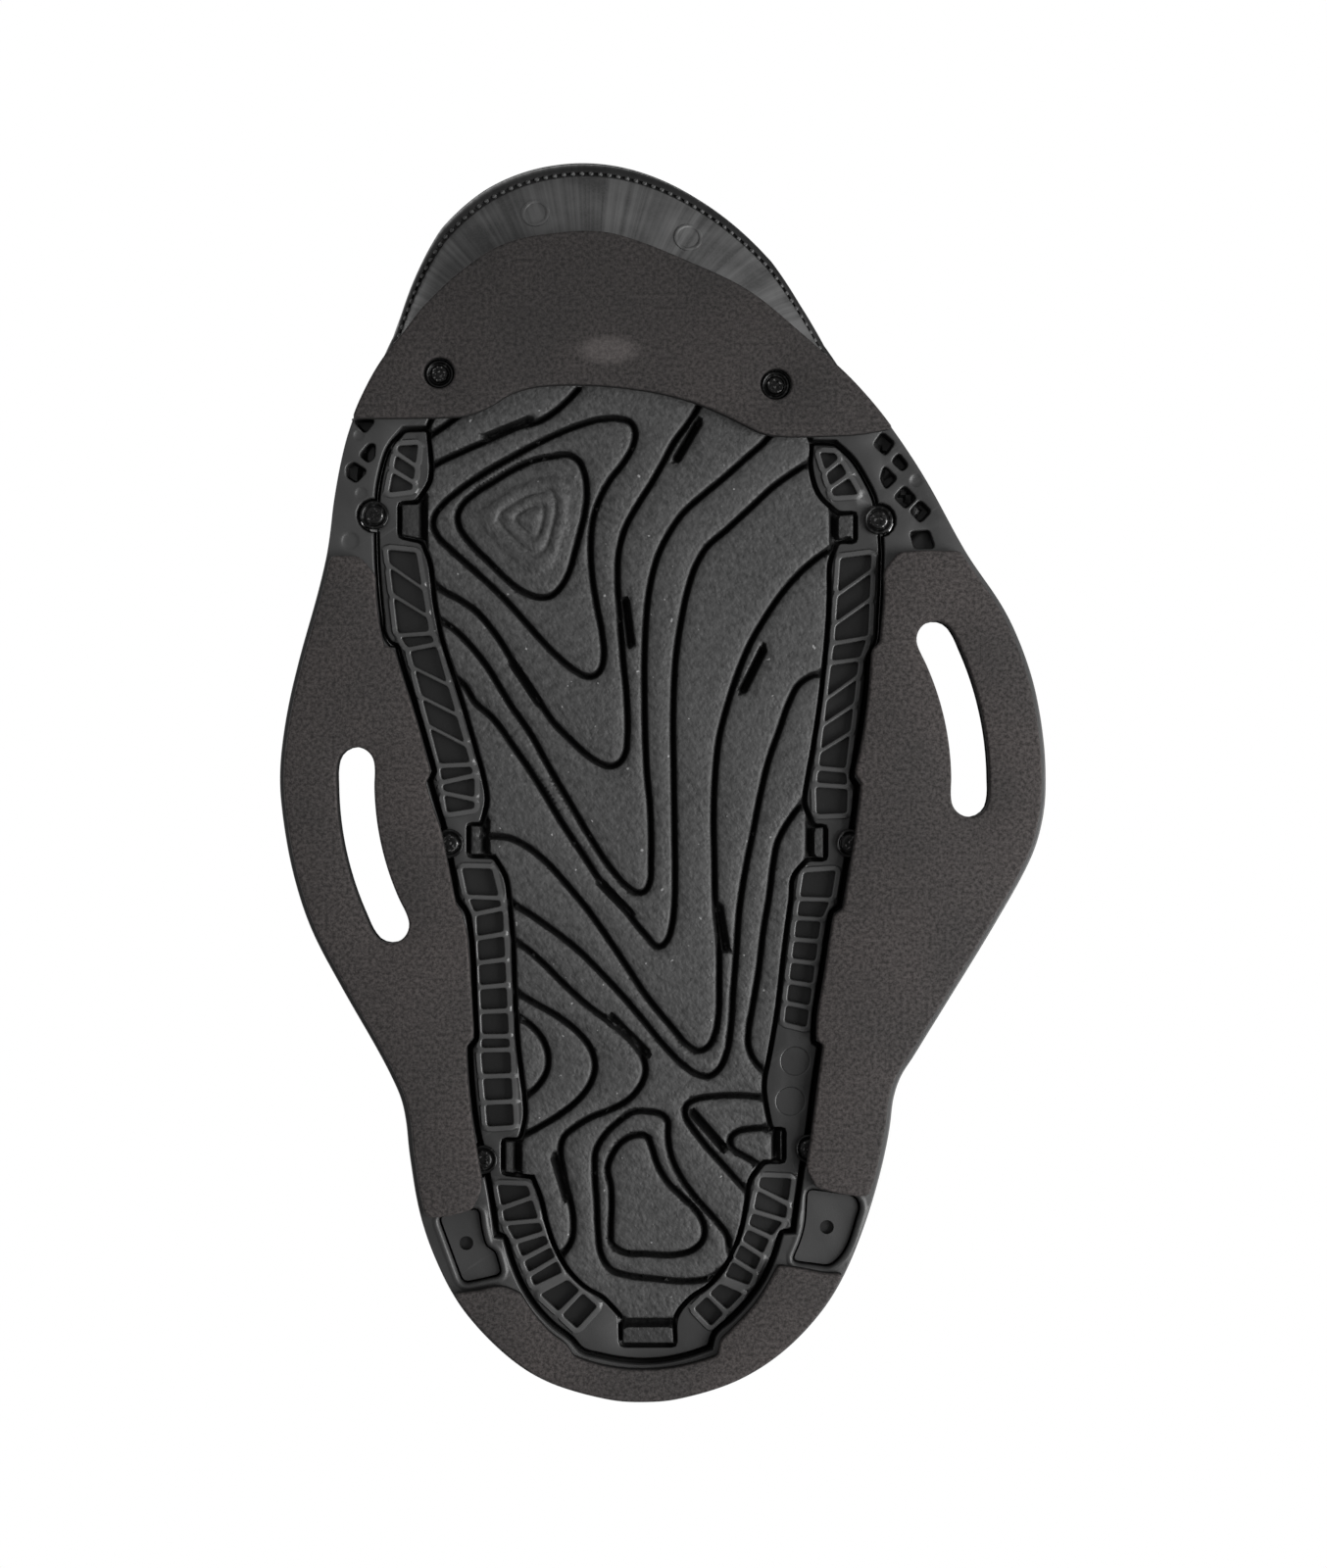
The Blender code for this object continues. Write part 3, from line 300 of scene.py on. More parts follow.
def plate(name, finish, loops, rim, top, top_rim=None, relief=None, extra=(), blind=(),
          angle=40, hole_rim=None, top_relief=None, top_extra=()):
    """A plate with a shaped rim round each loop, the first loop its outline, the rest its holes.

    rim, hole_rim and top_rim list (offset into the material, z). blind lists (loop, floor z, holes
    in it). relief and top_relief give how far the two faces move up at (x, y), and extra and
    top_extra are points for them inside the loops."""
    shape = Shape()
    flat_face = lambda flat: np.zeros(len(flat))
    relief, top_relief = relief or flat_face, top_relief or flat_face
    hole_rim = hole_rim or rim
    top_rim = top_rim or [(0.0, top)]
    face_z = rim[-1][1]

    def ring(loop, offset, z, lift=flat_face):
        flat = np.array(shift(loop, offset)) if offset else np.array(loop)
        return [(x, y, z + h) for (x, y), h in zip(flat, lift(flat))]

    for k, loop in enumerate(loops):
        wall = hole_rim if k else rim
        shape.grid([ring(loop, o, z, relief) for o, z in reversed(wall)]
                   + [ring(loop, o, z, top_relief if z == top else flat_face)
                      for o, z in top_rim], closed=True)
    for loop, floor, holes in blind:
        shape.grid([ring(loop, o, z, relief) for o, z in reversed(hole_rim)]
                   + [ring(loop, 0, floor)], closed=True)
        shape.cap([loop] + holes, lambda flat: np.full(len(flat), floor))
        for hole in holes:
            deep = floor + DRILLED_DEEP
            shape.grid([ring(hole, 0, floor), ring(hole, 0, deep)], closed=True)
            shape.cap([hole], lambda flat: np.full(len(flat), deep))

    def moved(loop, offset):
        return shift(loop, offset) if offset else loop
    openings = [moved(loop, (hole_rim if k else rim)[-1][0]) for k, loop in enumerate(loops)]
    openings += [moved(loop, hole_rim[-1][0]) for loop, _, _ in blind]
    shape.cap(openings, lambda flat: face_z + relief(flat), extra)
    shape.cap([moved(loop, top_rim[-1][0]) for loop in loops],
              lambda flat: top_rim[-1][1] + top_relief(flat), top_extra)
    return shape.finish(name, finish, angle)


# ---------------------------------------------------------------- materials
# Near black: painted shade in grooves, pockets, sunk faces and on the pads' sides, and the
# cupsole's colour from its seam up
SHADE_AND_CUPSOLE_BLACK = (0.0012, 0.0012, 0.0012)


class Finish:
    """One procedural material: a Principled shader, its colour, roughness and bump from nodes."""

    def __init__(self, name, slot, roughness=0.5, metallic=0.0, specular=0.5, sheen=0.0):
        self.slot = slot
        self.material = bpy.data.materials.new(name)
        self.material.use_nodes = True
        self.tree = self.material.node_tree
        self.shader = self.tree.nodes["Principled BSDF"]
        self.shader.inputs["Roughness"].default_value = roughness
        self.shader.inputs["Metallic"].default_value = metallic
        self.shader.inputs["Specular IOR Level"].default_value = specular
        self.shader.inputs["Sheen Weight"].default_value = sheen
        self.shader.inputs["Sheen Roughness"].default_value = 0.4
        self.place = self.node("TexCoord").outputs["Object"]

    def node(self, kind, inputs=None, **settings):
        """Add a node, set its properties and fill its inputs with values or links."""
        made = self.tree.nodes.new("ShaderNode" + kind)
        for key, value in settings.items():
            setattr(made, key, value)
        for key, value in (inputs or {}).items():
            if isinstance(value, bpy.types.NodeSocket):
                self.tree.links.new(value, made.inputs[key])
            else:
                made.inputs[key].default_value = value
        return made

    def stretched(self, x, y, z, turn=0.0):
        """The object's coordinates, scaled per axis after a turn about z in degrees."""
        turned = self.node("Mapping", {"Vector": self.place,
                                       "Rotation": (0, 0, math.radians(turn))})
        return self.node("Mapping", {"Vector": turned.outputs[0], "Scale": (x, y, z)}).outputs[0]

    def noise(self, size, detail, vector=None, rough=0.5):
        """Noise from 0 to 1 with features about `size` millimetres across."""
        return self.node("TexNoise", {"Vector": vector or self.place, "Scale": 1 / (size * MM),
                                      "Detail": detail, "Roughness": rough}).outputs["Fac"]

    def cells(self, size, feature="F1", vector=None):
        """Distance in a cell pattern of cells about `size` millimetres across."""
        return self.node("TexVoronoi", {"Vector": vector or self.place, "Scale": 1 / (size * MM)},
                         feature=feature).outputs["Distance"]

    def waves(self, size, axis, vector=None):
        """Parallel bands `size` millimetres apart along one axis."""
        scale = math.pi / (10 * size * MM)
        return self.node("TexWave", {"Vector": vector or self.place, "Scale": scale},
                         wave_type="BANDS", bands_direction=axis).outputs["Fac"]

    def spread(self, value, low, high, to_low=0.0, to_high=1.0):
        """A value remapped from one range to another, clamped."""
        return self.node("MapRange", {"Value": value, "From Min": low, "From Max": high,
                                      "To Min": to_low, "To Max": to_high}).outputs["Result"]

    def height(self):
        """The z of a point, in the metres of the frame."""
        return self.node("SeparateXYZ", {"Vector": self.place}).outputs["Z"]

    def cloth(self):
        """A sheet's own coordinates: along it and up it, in metres."""
        return self.node("Attribute", attribute_name="cloth").outputs["Vector"]

    def darkened(self, colour, low, high, depth, until=None):
        """A colour that turns almost black between two heights (mm) by a share `depth`, and is
        itself again above `until`:
        painted shade in grooves, pockets, sunk faces and on the pads' sides, and the cupsole near
        black from its seam up."""
        mask = self.spread(self.height(), low * MM, high * MM, 0, depth)
        if until:
            clear = self.spread(self.height(), (until - 0.25) * MM, until * MM, 1, 0)
            mask = self.times(mask, clear)
        return self.mix(mask, colour, SHADE_AND_CUPSOLE_BLACK)

    def combine(self, a, b, operation="ADD"):
        """Two values added, or joined by another operation."""
        return self.node("Math", {0: a, 1: b}, operation=operation).outputs[0]

    def times(self, a, b):
        """Two values multiplied."""
        return self.combine(a, b, "MULTIPLY")

    def shades(self, factor, *stops):
        """A colour ramp of (position, (r, g, b)) stops."""
        made = self.node("ValToRGB", {"Fac": factor})
        ramp = made.color_ramp
        while len(ramp.elements) < len(stops):
            ramp.elements.new(0.5)
        for element, (position, colour) in zip(ramp.elements, stops):
            element.position = position
            element.color = (*colour, 1.0)
        return made.outputs["Color"]

    def mix(self, factor, a, b):
        """A mix of two colours."""
        made = self.node("Mix", {"Factor": factor}, data_type="RGBA")
        for key, value in ((6, a), (7, b)):
            if isinstance(value, bpy.types.NodeSocket):
                self.tree.links.new(value, made.inputs[key])
            else:
                made.inputs[key].default_value = (*value, 1.0)
        return made.outputs[2]

    def colour(self, socket):
        """Set the base colour from a socket."""
        self.tree.links.new(socket, self.shader.inputs["Base Color"])

    def roughness(self, socket):
        """Set the roughness from a socket."""
        self.tree.links.new(socket, self.shader.inputs["Roughness"])

    def bump(self, height, depth, strength):
        """Add a bump `depth` millimetres deep on top of the bumps so far."""
        made = self.node("Bump", {"Height": height, "Distance": depth * MM, "Strength": strength})
        before = self.shader.inputs["Normal"]
        if before.is_linked:
            self.tree.links.new(before.links[0].from_socket, made.inputs["Normal"])
        self.tree.links.new(made.outputs[0], before)


def grey(value, warm=0.0):
    """A grey, a little redder where warm is above 0."""
    return (value * (1 + warm), value, value * (1 - 0.2 * warm))


WORN_AT, WORN_HALF = (-0.0135, -0.107), (0.0068, 0.0031)   # the pale oval on the toe pad, metres


def make_eva():
    """Skinned foam: brownish dark grey with a fine speckle, broad mottling, a worn toe and painted
    shade on its sides.
    """
    f = Finish("base_pad_foam", "base_pad_foam", roughness=0.82, specular=0.22)
    speckle = f.spread(f.noise(0.9, 4.0, rough=0.8), 0.4, 0.6)
    patches = f.spread(f.noise(26, 3.0), 0.38, 0.62)
    dark = f.mix(patches, grey(0.012, 0.1), grey(0.014, 0.14))
    light = f.mix(patches, grey(0.037, 0.11), grey(0.044, 0.14))
    base = f.mix(speckle, dark, light)
    (x, y), (half_x, half_y) = WORN_AT, WORN_HALF
    worn = f.node("Mapping", {"Vector": f.place, "Location": (-x / half_x, -y / half_y, 0),
                              "Scale": (1 / half_x, 1 / half_y, 0.01)}).outputs[0]
    away = f.node("VectorMath", {0: worn}, operation="LENGTH").outputs["Value"]
    rub = f.times(f.spread(away, 0.7, 1.3, 0.7, 0.0), f.spread(speckle, 0, 1, 0.6, 1.0))
    base = f.mix(rub, base, grey(0.085, 0.12))
    forward = f.node("SeparateXYZ", {"Vector": f.place}).outputs["Y"]
    base = f.mix(f.spread(forward, -0.12, -0.055, 0.34, 0.0), base, grey(0.006))
    # Painted shade: the pads' side walls turn near black from 0.55 mm up, clearing again by 3.4 mm
    f.colour(f.darkened(base, 0.55, 1.5, 0.85, until=3.4))
    f.roughness(f.spread(speckle, 0, 1, 0.9, 0.75))
    f.bump(f.noise(0.8, 3.0), 0.12, 0.7)
    return f


def make_rubber(dark, light, grain, roughness):
    """Moulded tread rubber: leathery pebbles, grooves painted near black as shade, dull patches and
    dust specks.
    """
    f = Finish("tread_rubber", "tread_rubber", roughness=roughness, specular=0.35)
    pebbles = f.cells(grain, "SMOOTH_F1")
    coarse = f.noise(grain * 1.5, 3.0, rough=0.6, vector=f.stretched(1, 0.6, 1, 35))
    fine = f.noise(grain * 0.4, 2.0)
    patches = f.spread(f.noise(30, 3.0), 0.3, 0.7)
    grains = f.mix(f.spread(coarse, 0.33, 0.67), grey(dark), grey(light))
    base = f.mix(f.times(patches, 0.3), grains, grey(light * 1.15))
    dust = f.spread(f.noise(1.5, 1.0, vector=f.stretched(1, 1, 1, 40)), 0.775, 0.80, 0, 0.5)
    base = f.mix(dust, base, grey(0.3))
    # Painted shade: grooves, slots and sunk tabs turn near black once sunk 0.3 mm into the tread
    f.colour(f.darkened(base, TREAD_BOTTOM + 0.3, TREAD_BOTTOM + 0.75, 0.98))
    f.roughness(f.spread(f.noise(6, 3.0), 0.3, 0.7, roughness - 0.06, roughness + 0.07))
    f.bump(pebbles, 0.2, 0.7)
    f.bump(coarse, 0.3, 0.8)
    f.bump(fine, 0.03, 0.5)
    return f


def make_nylon(name, slot, dark, light, roughness, recess, until, web=None):
    """Glass-filled nylon: spark-eroded texture, flow marks, scratches, and painted shade near black
    above `recess`, up to `until`. web is the z of the face above which the sunk web gets a little
    painted shade."""
    f = Finish(name, slot, roughness=roughness, specular=0.4)
    texture = f.noise(0.35, 2.0)
    flow = f.spread(f.noise(14, 4.0, vector=f.stretched(1, 0.4, 1, 20)), 0.3, 0.7)
    scratch = f.spread(f.noise(1.1, 2.0, vector=f.stretched(0.06, 1, 1, 33)), 0.66, 0.76)
    base = f.mix(flow, grey(dark), grey(light))
    base = f.mix(f.times(scratch, 0.35), base, grey(light * 2.2))
    # Painted shade: the sunk web a little darker than the raised borders and ribs
    if web:
        base = f.darkened(base, web + 0.1, web + 0.5, 0.45)
    # Painted shade: pockets, windows and the walls of openings near black
    f.colour(f.darkened(base, recess + 0.35, recess + 1.1, 0.95, until=until))
    f.roughness(f.spread(flow, 0, 1, roughness - 0.05, roughness + 0.08))
    f.bump(texture, 0.05, 0.5)
    f.bump(f.noise(7, 2.0), 0.10, 0.5)
    return f


def make_toe_rubber():
    """Rubber of the cupsole, brushed outwards round its toe by use, black in its seam."""
    f = Finish("cupsole_rubber", "tread_rubber", roughness=0.5, specular=0.3)
    centre = f.node("Mapping", {"Vector": f.place, "Location": (0.018, 0.095, 0)}).outputs[0]
    swept = f.node("TexGradient", {"Vector": centre}, gradient_type="RADIAL").outputs["Fac"]
    turned = f.node("CombineXYZ", {"X": swept}).outputs[0]
    streaks = f.node("TexNoise", {"Vector": turned, "Scale": 210.0, "Detail": 3.0,
                                  "Roughness": 0.6}).outputs["Fac"]
    broad = f.node("TexNoise", {"Vector": turned, "Scale": 42.0, "Detail": 2.0}).outputs["Fac"]
    cloud = f.noise(9, 3.0)
    fine = f.noise(0.5, 2.0)
    mixed = f.combine(f.combine(streaks, broad), f.times(cloud, 0.6))
    base = f.mix(f.spread(mixed, 1.14, 1.46), grey(0.034), grey(0.084))
    base = f.mix(f.spread(fine, 0.42, 0.7, 0, 0.4), base, grey(0.07))
    f.colour(f.darkened(base, 16.12, 16.4, 0.88))
    f.roughness(f.spread(streaks, 0.3, 0.7, 0.62, 0.42))
    f.bump(streaks, 0.05, 0.4)
    f.bump(fine, 0.02, 0.4)
    return f


def make_steel(name, metallic, patches, worn, dark, light, roughness, grain):
    """Blackened steel with paler worn patches. worn is the noise they start and are full at, and
    roughness is that of the black and of the worn steel."""
    f = Finish(name, "fastener_steel", roughness=0.3, metallic=metallic)
    wear = f.spread(f.noise(patches, 3.0), *worn)
    f.colour(f.mix(wear, dark, light))
    f.roughness(f.spread(wear, 0, 1, *roughness))
    f.bump(f.noise(grain, 2.0), 0.03, 0.5)
    return f


def make_leather(name, dark, light, grain, roughness, holes=None):
    """Coated synthetic leather: creased grain, soft sheen variation, and rows of punched holes,
    dented by bump and painted near black as their shade.
    """
    f = Finish(name, "upper_leather", roughness=roughness, specular=0.45)
    pebbles = f.cells(grain, "SMOOTH_F1")
    creases = f.noise(grain * 2.4, 4.0, rough=0.6)
    patches = f.spread(f.noise(34, 3.0), 0.3, 0.7)
    base = f.mix(f.spread(creases, 0.35, 0.65), grey(dark), grey(light))
    base = f.mix(f.times(patches, 0.35), base, grey(light * 1.2))
    if holes:
        punched = f.node("TexVoronoi", {"Vector": f.cloth(), "Scale": 1 / (holes * MM),
                                        "Randomness": 0.0}).outputs["Distance"]
        # Painted shade: each punched hole a near-black dot
        mask = f.spread(punched, 0.16, 0.2, 1, 0)
        base = f.mix(mask, base, grey(0.001))
        f.bump(mask, -0.5, 1.0)
    f.colour(base)
    f.roughness(f.spread(f.noise(5, 3.0), 0.3, 0.7, roughness - 0.06, roughness + 0.08))
    f.bump(pebbles, 0.14, 0.6)
    f.bump(creases, 0.12, 0.6)
    return f


def make_weave(name, slot, dark, light, pitch, ribs=False):
    """Woven cloth: warp and weft crossing on the sheet's own coordinates, with stray fibres."""
    roughness = 0.85
    f = Finish(name, slot, roughness=roughness, specular=0.25, sheen=0.25)
    cloth = f.cloth()
    warp = f.waves(pitch, "X", cloth)
    weft = f.waves(pitch * (0.8 if ribs else 1.0), "Y", cloth)
    diagonal = f.waves(pitch * 2.6, "DIAGONAL", cloth)
    crossed = f.combine(f.combine(warp, weft, "MAXIMUM"), f.times(diagonal, 0.35))
    fibre = f.noise(0.35, 3.0)
    base = f.mix(f.spread(crossed, 0.3, 1.3), grey(dark), grey(light))
    f.colour(f.mix(f.spread(fibre, 0.45, 0.75, 0, 0.5), base, grey(light * 1.5)))
    f.roughness(f.spread(fibre, 0.3, 0.7, roughness - 0.08, roughness + 0.06))
    f.bump(crossed, 0.22, 0.8)
    f.bump(fibre, 0.05, 0.5)
    return f


def make_knit(name, slot, dark, light, size):
    """Brushed knit on foam: small loops, fuzz and faint pilling, on the object's coordinates."""
    f = Finish(name, slot, roughness=0.92, specular=0.2, sheen=0.45)
    loops = f.cells(size, "F1", vector=f.stretched(1, 1, 0.72))
    fuzz = f.noise(0.3, 4.0, rough=0.7)
    worn = f.spread(f.noise(24, 3.0), 0.3, 0.7)
    base = f.mix(f.spread(loops, 0.15, 0.75), grey(light), grey(dark))
    base = f.mix(f.times(worn, 0.3), base, grey(light * 1.3))
    f.colour(f.mix(f.spread(fuzz, 0.5, 0.75, 0, 0.6), base, grey(light * 1.7)))
    f.bump(loops, -0.3, 0.7)
    f.bump(fuzz, 0.1, 0.6)
    return f


def make_plastic():
    """Satin moulded thermoplastic with a fine eroded texture and rubbed high spots."""
    f = Finish("counter_plastic", "heel_counter_plastic", roughness=0.36, specular=0.5)
    texture = f.noise(0.3, 2.0)
    rubbed = f.spread(f.noise(9, 4.0), 0.52, 0.75)
    f.colour(f.mix(rubbed, grey(0.016), grey(0.034)))
    f.roughness(f.spread(rubbed, 0, 1, 0.34, 0.52))
    f.bump(texture, 0.05, 0.6)
    return f


def make_thread(name, slot, dark, light):
    """Bonded thread with a visible twist."""
    f = Finish(name, slot, roughness=0.6, specular=0.4)
    twist = f.waves(0.5, "DIAGONAL")
    f.colour(f.mix(twist, grey(dark), grey(light)))
    f.roughness(f.spread(f.noise(2, 2.0), 0.3, 0.7, 0.5, 0.72))
    f.bump(twist, 0.06, 0.7)
    return f


def make_pile():
    """Loop pile: a dense field of tiny curls."""
    f = Finish("landing_pile", "fastener_pile", roughness=1.0, specular=0.1, sheen=0.6)
    curls = f.cells(0.9)
    fuzz = f.noise(0.4, 5.0, rough=0.75)
    f.colour(f.mix(f.spread(fuzz, 0.3, 0.7), grey(0.006), f.shades(curls, (0.1, grey(0.04)),
                                                                   (0.8, grey(0.012)))))
    f.roughness(f.spread(fuzz, 0.3, 0.7, 0.92, 1.0))
    f.bump(curls, -0.5, 1.0)
    f.bump(fuzz, 0.3, 0.8)
    return f


def make_fibreboard():
    """Pressed fibreboard with short fibres."""
    f = Finish("lasting_fibre", "lasting_fibreboard", roughness=0.9, specular=0.2)
    fibres = f.noise(1.2, 4.0, vector=f.stretched(0.25, 1, 1, 15), rough=0.65)
    f.colour(f.shades(fibres, (0.3, (0.10, 0.085, 0.07)), (0.7, (0.2, 0.17, 0.14))))
    f.roughness(f.spread(fibres, 0.3, 0.7, 0.82, 0.95))
    f.bump(fibres, 0.15, 0.6)
    return f


EVA = make_eva()
TREAD_RUBBER = make_rubber(0.012, 0.042, 0.85, 0.6)
CUPSOLE_RUBBER = make_toe_rubber()
# The last numbers of each nylon set where its painted shade starts and stops
CHASSIS_NYLON = make_nylon("chassis_nylon", "chassis_nylon", 0.018, 0.03, 0.45,
                           CHASSIS_BOTTOM + 1.55, CHASSIS_TOP - 0.05)
FRAME_NYLON = make_nylon("frame_nylon", "frame_nylon", 0.032, 0.05, 0.36, FRAME_BOTTOM + 0.5, None,
                         web=FRAME_BOTTOM)
SCREW_STEEL = make_steel("screw_steel", 1.0, 0.7, (0.58, 0.72), grey(0.02), grey(0.3, 0.02),
                         (0.4, 0.2), 0.3)
WASHER_STEEL = make_steel("washer_steel", 0.85, 1.4, (0.55, 0.78), grey(0.012), grey(0.09),
                          (0.28, 0.45), 0.35)
LEATHER = make_leather("upper_leather", 0.012, 0.02, 1.1, 0.5)
TOE_LEATHER = make_leather("toe_leather", 0.010, 0.016, 0.7, 0.44)
VAMP_CLOTH = make_leather("vamp_leather", 0.016, 0.026, 0.9, 0.55, holes=4.2)
CUFF_CLOTH = make_weave("cuff_ballistic_cloth", "upper_leather", 0.012, 0.032, 0.9)
TONGUE_CLOTH = make_knit("tongue_cloth", "upper_leather", 0.012, 0.03, 1.1)
LINING_KNIT = make_knit("lining_knit", "lining_fabric", 0.03, 0.075, 1.3)
GUSSET_CLOTH = make_weave("gusset_stretch_cloth", "lining_fabric", 0.01, 0.028, 0.7)
WEBBING = make_weave("strap_webbing", "strap_webbing", 0.010, 0.034, 0.75, ribs=True)
COUNTER_PLASTIC = make_plastic()
PILE = make_pile()
THREAD = make_thread("upper_thread", "strap_webbing", 0.07, 0.16)
SOLE_THREAD = make_thread("sole_thread", "strap_webbing", 0.02, 0.075)
BOARD_FIBRE = make_fibreboard()


# ---------------------------------------------------------------- base
def centroid(loop):
    """Mean of a loop's points."""
    return np.array(loop).mean(axis=0)


def distances(tree, flat):
    """Distance of each point to the nearest one of a tree."""
    return np.array([tree.find((x, y, 0))[2] for x, y in flat])


def ridge(value, width):
    """A rounded ridge, 1 on its line and 0 beyond its width."""
    return np.clip(1 - (value / width) ** 2, 0, 1)


def split_loops(node, height, floors):
    """A flat face's loops without the blind ones, and the blind ones with their floor's z."""
    faces = flat_loops(node, height)
    blind = []
    for floor, smallest in floors:
        for loop in flat_loops(node, floor):
            if abs(area(loop)) > smallest:
                blind.append((loop, floor))
    at = [centroid(loop) for loop, _ in blind]
    through = [loop for loop in faces[1:]
               if min(np.linalg.norm(centroid(loop) - c) for c in at) > 0.25]
    return faces[0], through, blind


def hole(loop, spacing, times):
    """A loop as a hole, clockwise, with its corners rounded."""
    made = soften(smooth_loop(loop, spacing), times)
    return made if area(made) < 0 else made[::-1]


WELL_HOLES = ((-49.0, 115.0), (40.9, 111.0))   # drilled in the floors of the heel pockets
WELL_HOLE_RADIUS = 1.75
SLOT_AREAS = (200, 1000)   # which through loops are the mounting slots, in square millimetres


def make_chassis_plate():
    """Slotted plate: rolled outer rim, softened openings, core-outs, marks and heel pockets."""
    mark, well, pocket = CHASSIS_BOTTOM + 0.35, CHASSIS_BOTTOM + 1.8, CHASSIS_BOTTOM + 2.4
    outer, through, found = split_loops("chassis", CHASSIS_BOTTOM,
                                        ((mark, 0), (well, 40), (pocket, 0)))
    outer = soften(smooth_loop(outer, 1.5), 1)
    through = [smooth_loop(loop, 1.5) for loop in through]
    blind, wells, marks = [], [], []
    for loop, floor in found:
        if floor == mark:
            marks.append((centroid(loop), math.sqrt(abs(area(loop)) / math.pi)))
        elif floor == pocket:
            blind.append((hole(loop, 0.35, 2), CHASSIS_TOP - 0.6, []))
        else:
            edge = hole(loop, 0.8, 3)
            wells.append(edge)
            drilled = [circle(at, WELL_HOLE_RADIUS, 24)[::-1] for at in WELL_HOLES
                       if inside(np.array([at]), [edge])[0]]
            blind.append((edge, CHASSIS_BOTTOM + 1.7, drilled))
    opening = max(through, key=lambda loop: abs(area(loop)))
    tree = point_tree([(loop, True) for loop in wells], 0.3)

    def border(flat):
        """Raised border round the heel pockets, and shallow round marks."""
        lift = -0.38 * ridge(distances(tree, flat) - 1.5, 0.75)
        for middle, radius in marks:
            within = radius - np.linalg.norm(flat - middle, axis=1)
            lift += 0.3 * np.clip(within / 0.7, 0, 1)
        return lift
    extra = []
    for edge in wells:
        for distance in (0.6, 0.85, 1.1, 1.5, 1.9, 2.15, 2.4):
            extra += shift(edge, distance)
    for middle, radius in marks:
        for share in (0.4, 0.72, 0.86, 1.0, 1.2):
            extra += circle(middle, radius * share, 28)
    slots = [loop for loop in through if SLOT_AREAS[0] < abs(area(loop)) < SLOT_AREAS[1]]
    rim = rounded(0.4, CHASSIS_TOP, CHASSIS_BOTTOM, 3)
    piece = plate("chassis_plate", CHASSIS_NYLON, [outer] + through, rim, CHASSIS_TOP,
                  rounded(0.8, CHASSIS_BOTTOM, CHASSIS_TOP, 3), blind=blind, relief=border,
                  extra=within(extra, [shift(outer, 0.7), shift(opening, 1.2)]),
                  hole_rim=[(0.0, 7.6), (0.55, 7.0)] + [(0.55 + o, z) for o, z in rim],
                  **wing_ribs(outer, opening, slots))
    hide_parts("chassis")


WING_RIM, SLOT_LAND = 4.0, 5.0    # widths of the raised rim and of the land round each slot
WING_RIB_ANGLE = 7.0              # degrees from rib to rib
FIELD_DEPTH = 1.3


def wing_ribs(outer, opening, slots):
    """Top of the chassis's wings: sunk fields between a rim, the slots' raised lands and ribs."""
    rim_tree = point_tree([(outer, True), (opening, True)], 0.5)
    slot_tree = point_tree([(loop, True) for loop in slots], 0.5)

    def fields(flat):
        lift = np.zeros(len(flat))
        for k, (x, y) in enumerate(flat):
            edge = rim_tree.find((x, y, 0))[2] - WING_RIM
            land = slot_tree.find((x, y, 0))[2] - SLOT_LAND
            rib = abs((math.degrees(math.atan2(y, x)) / WING_RIB_ANGLE) % 1.0 - 0.5) * 2
            across = (rib - 0.16) * math.hypot(x, y) * math.radians(WING_RIB_ANGLE / 2)
            lift[k] = -FIELD_DEPTH * min(1.0, max(0.0, min(edge, land, across) / 0.7))
        return lift
    low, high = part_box("chassis")
    grid = lattice((low.x / MM, low.y / MM), (high.x / MM, high.y / MM), 1.3)
    return {"top_relief": fields,
            "top_extra": within(grid, [shift(loop, 1.6) for loop in [outer, opening] + slots])}


WING_PAD_GROWTH = 0.6    # how much further than their CAD nodes the wing pads reach


def make_pads():
    """The four foam pads, cut with softly pressed edges."""
    for name in ("toe_pad", "inner_wing_pad", "outer_wing_pad", "heel_pad"):
        loops = [soften(smooth_loop(loop, 0.9, 30.0), 1) for loop in flat_loops(name, 0.0)]
        if "wing" in name:
            loops[0] = shift(loops[0], -WING_PAD_GROWTH)
        piece = plate(name + "_foam", EVA, loops, rounded(0.7, PAD_TOP, 0.0, 4), PAD_TOP)
        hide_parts(name)


RING_WIDTH = 1.25        # raised border round each window
RING_SLOPE = 0.35        # width of the slope outside it
WEB_DEPTH = 0.55         # how much deeper the frame lies outside the borders


def frame_relief(windows):
    """The frame's face: raised borders and ribs round the windows, the web outside them sunk."""
    tree = point_tree([(loop, True) for loop in windows], 0.25)

    def relief(flat):
        return WEB_DEPTH * np.clip((distances(tree, flat) - RING_WIDTH) / RING_SLOPE, 0, 1)
    return relief


def point_tree(loops, spacing):
    """Nearest-point search over loops or open lines, sampled closely."""
    samples = []
    for points, closed in loops:
        samples += [tuple(p) for p in resample(points, spacing, closed)]
    tree = kdtree.KDTree(len(samples))
    for k, (x, y) in enumerate(samples):
        tree.insert((x, y, 0), k)
    tree.balance()
    return tree


def resample(points, spacing, closed):
    """Points at even spacing along straight segments."""
    p = np.array(points, float)
    if closed:
        p = np.vstack([p, p[:1]])
    at = run_lengths(p)
    s = np.linspace(0, at[-1], max(2, round(at[-1] / spacing)))
    return np.stack([np.interp(s, at, p[:, 0]), np.interp(s, at, p[:, 1])], axis=1)


RIB_WIDTH = 1.3          # between two windows
RAIL_LEAST = 0.75        # between a window and the frame's outline
WINDOW_LEAST = 6.0       # area, in square millimetres
BRIDGE_APART = 18.0      # furthest that two windows with a plain step between them lie apart
BRIDGE_GAPS = (3.6, 9.0)  # length of the step, the mean of its two sides
BRIDGE_SIDE = 2.4        # shortest side of the step


def facing_corners(loop, way, side):
    """The two corners of a window that face along `way`, on the side and on the other side."""
    p = np.array(loop)
    return p[np.argmax(p @ (way + 2 * side))], p[np.argmax(p @ (way - 2 * side))]


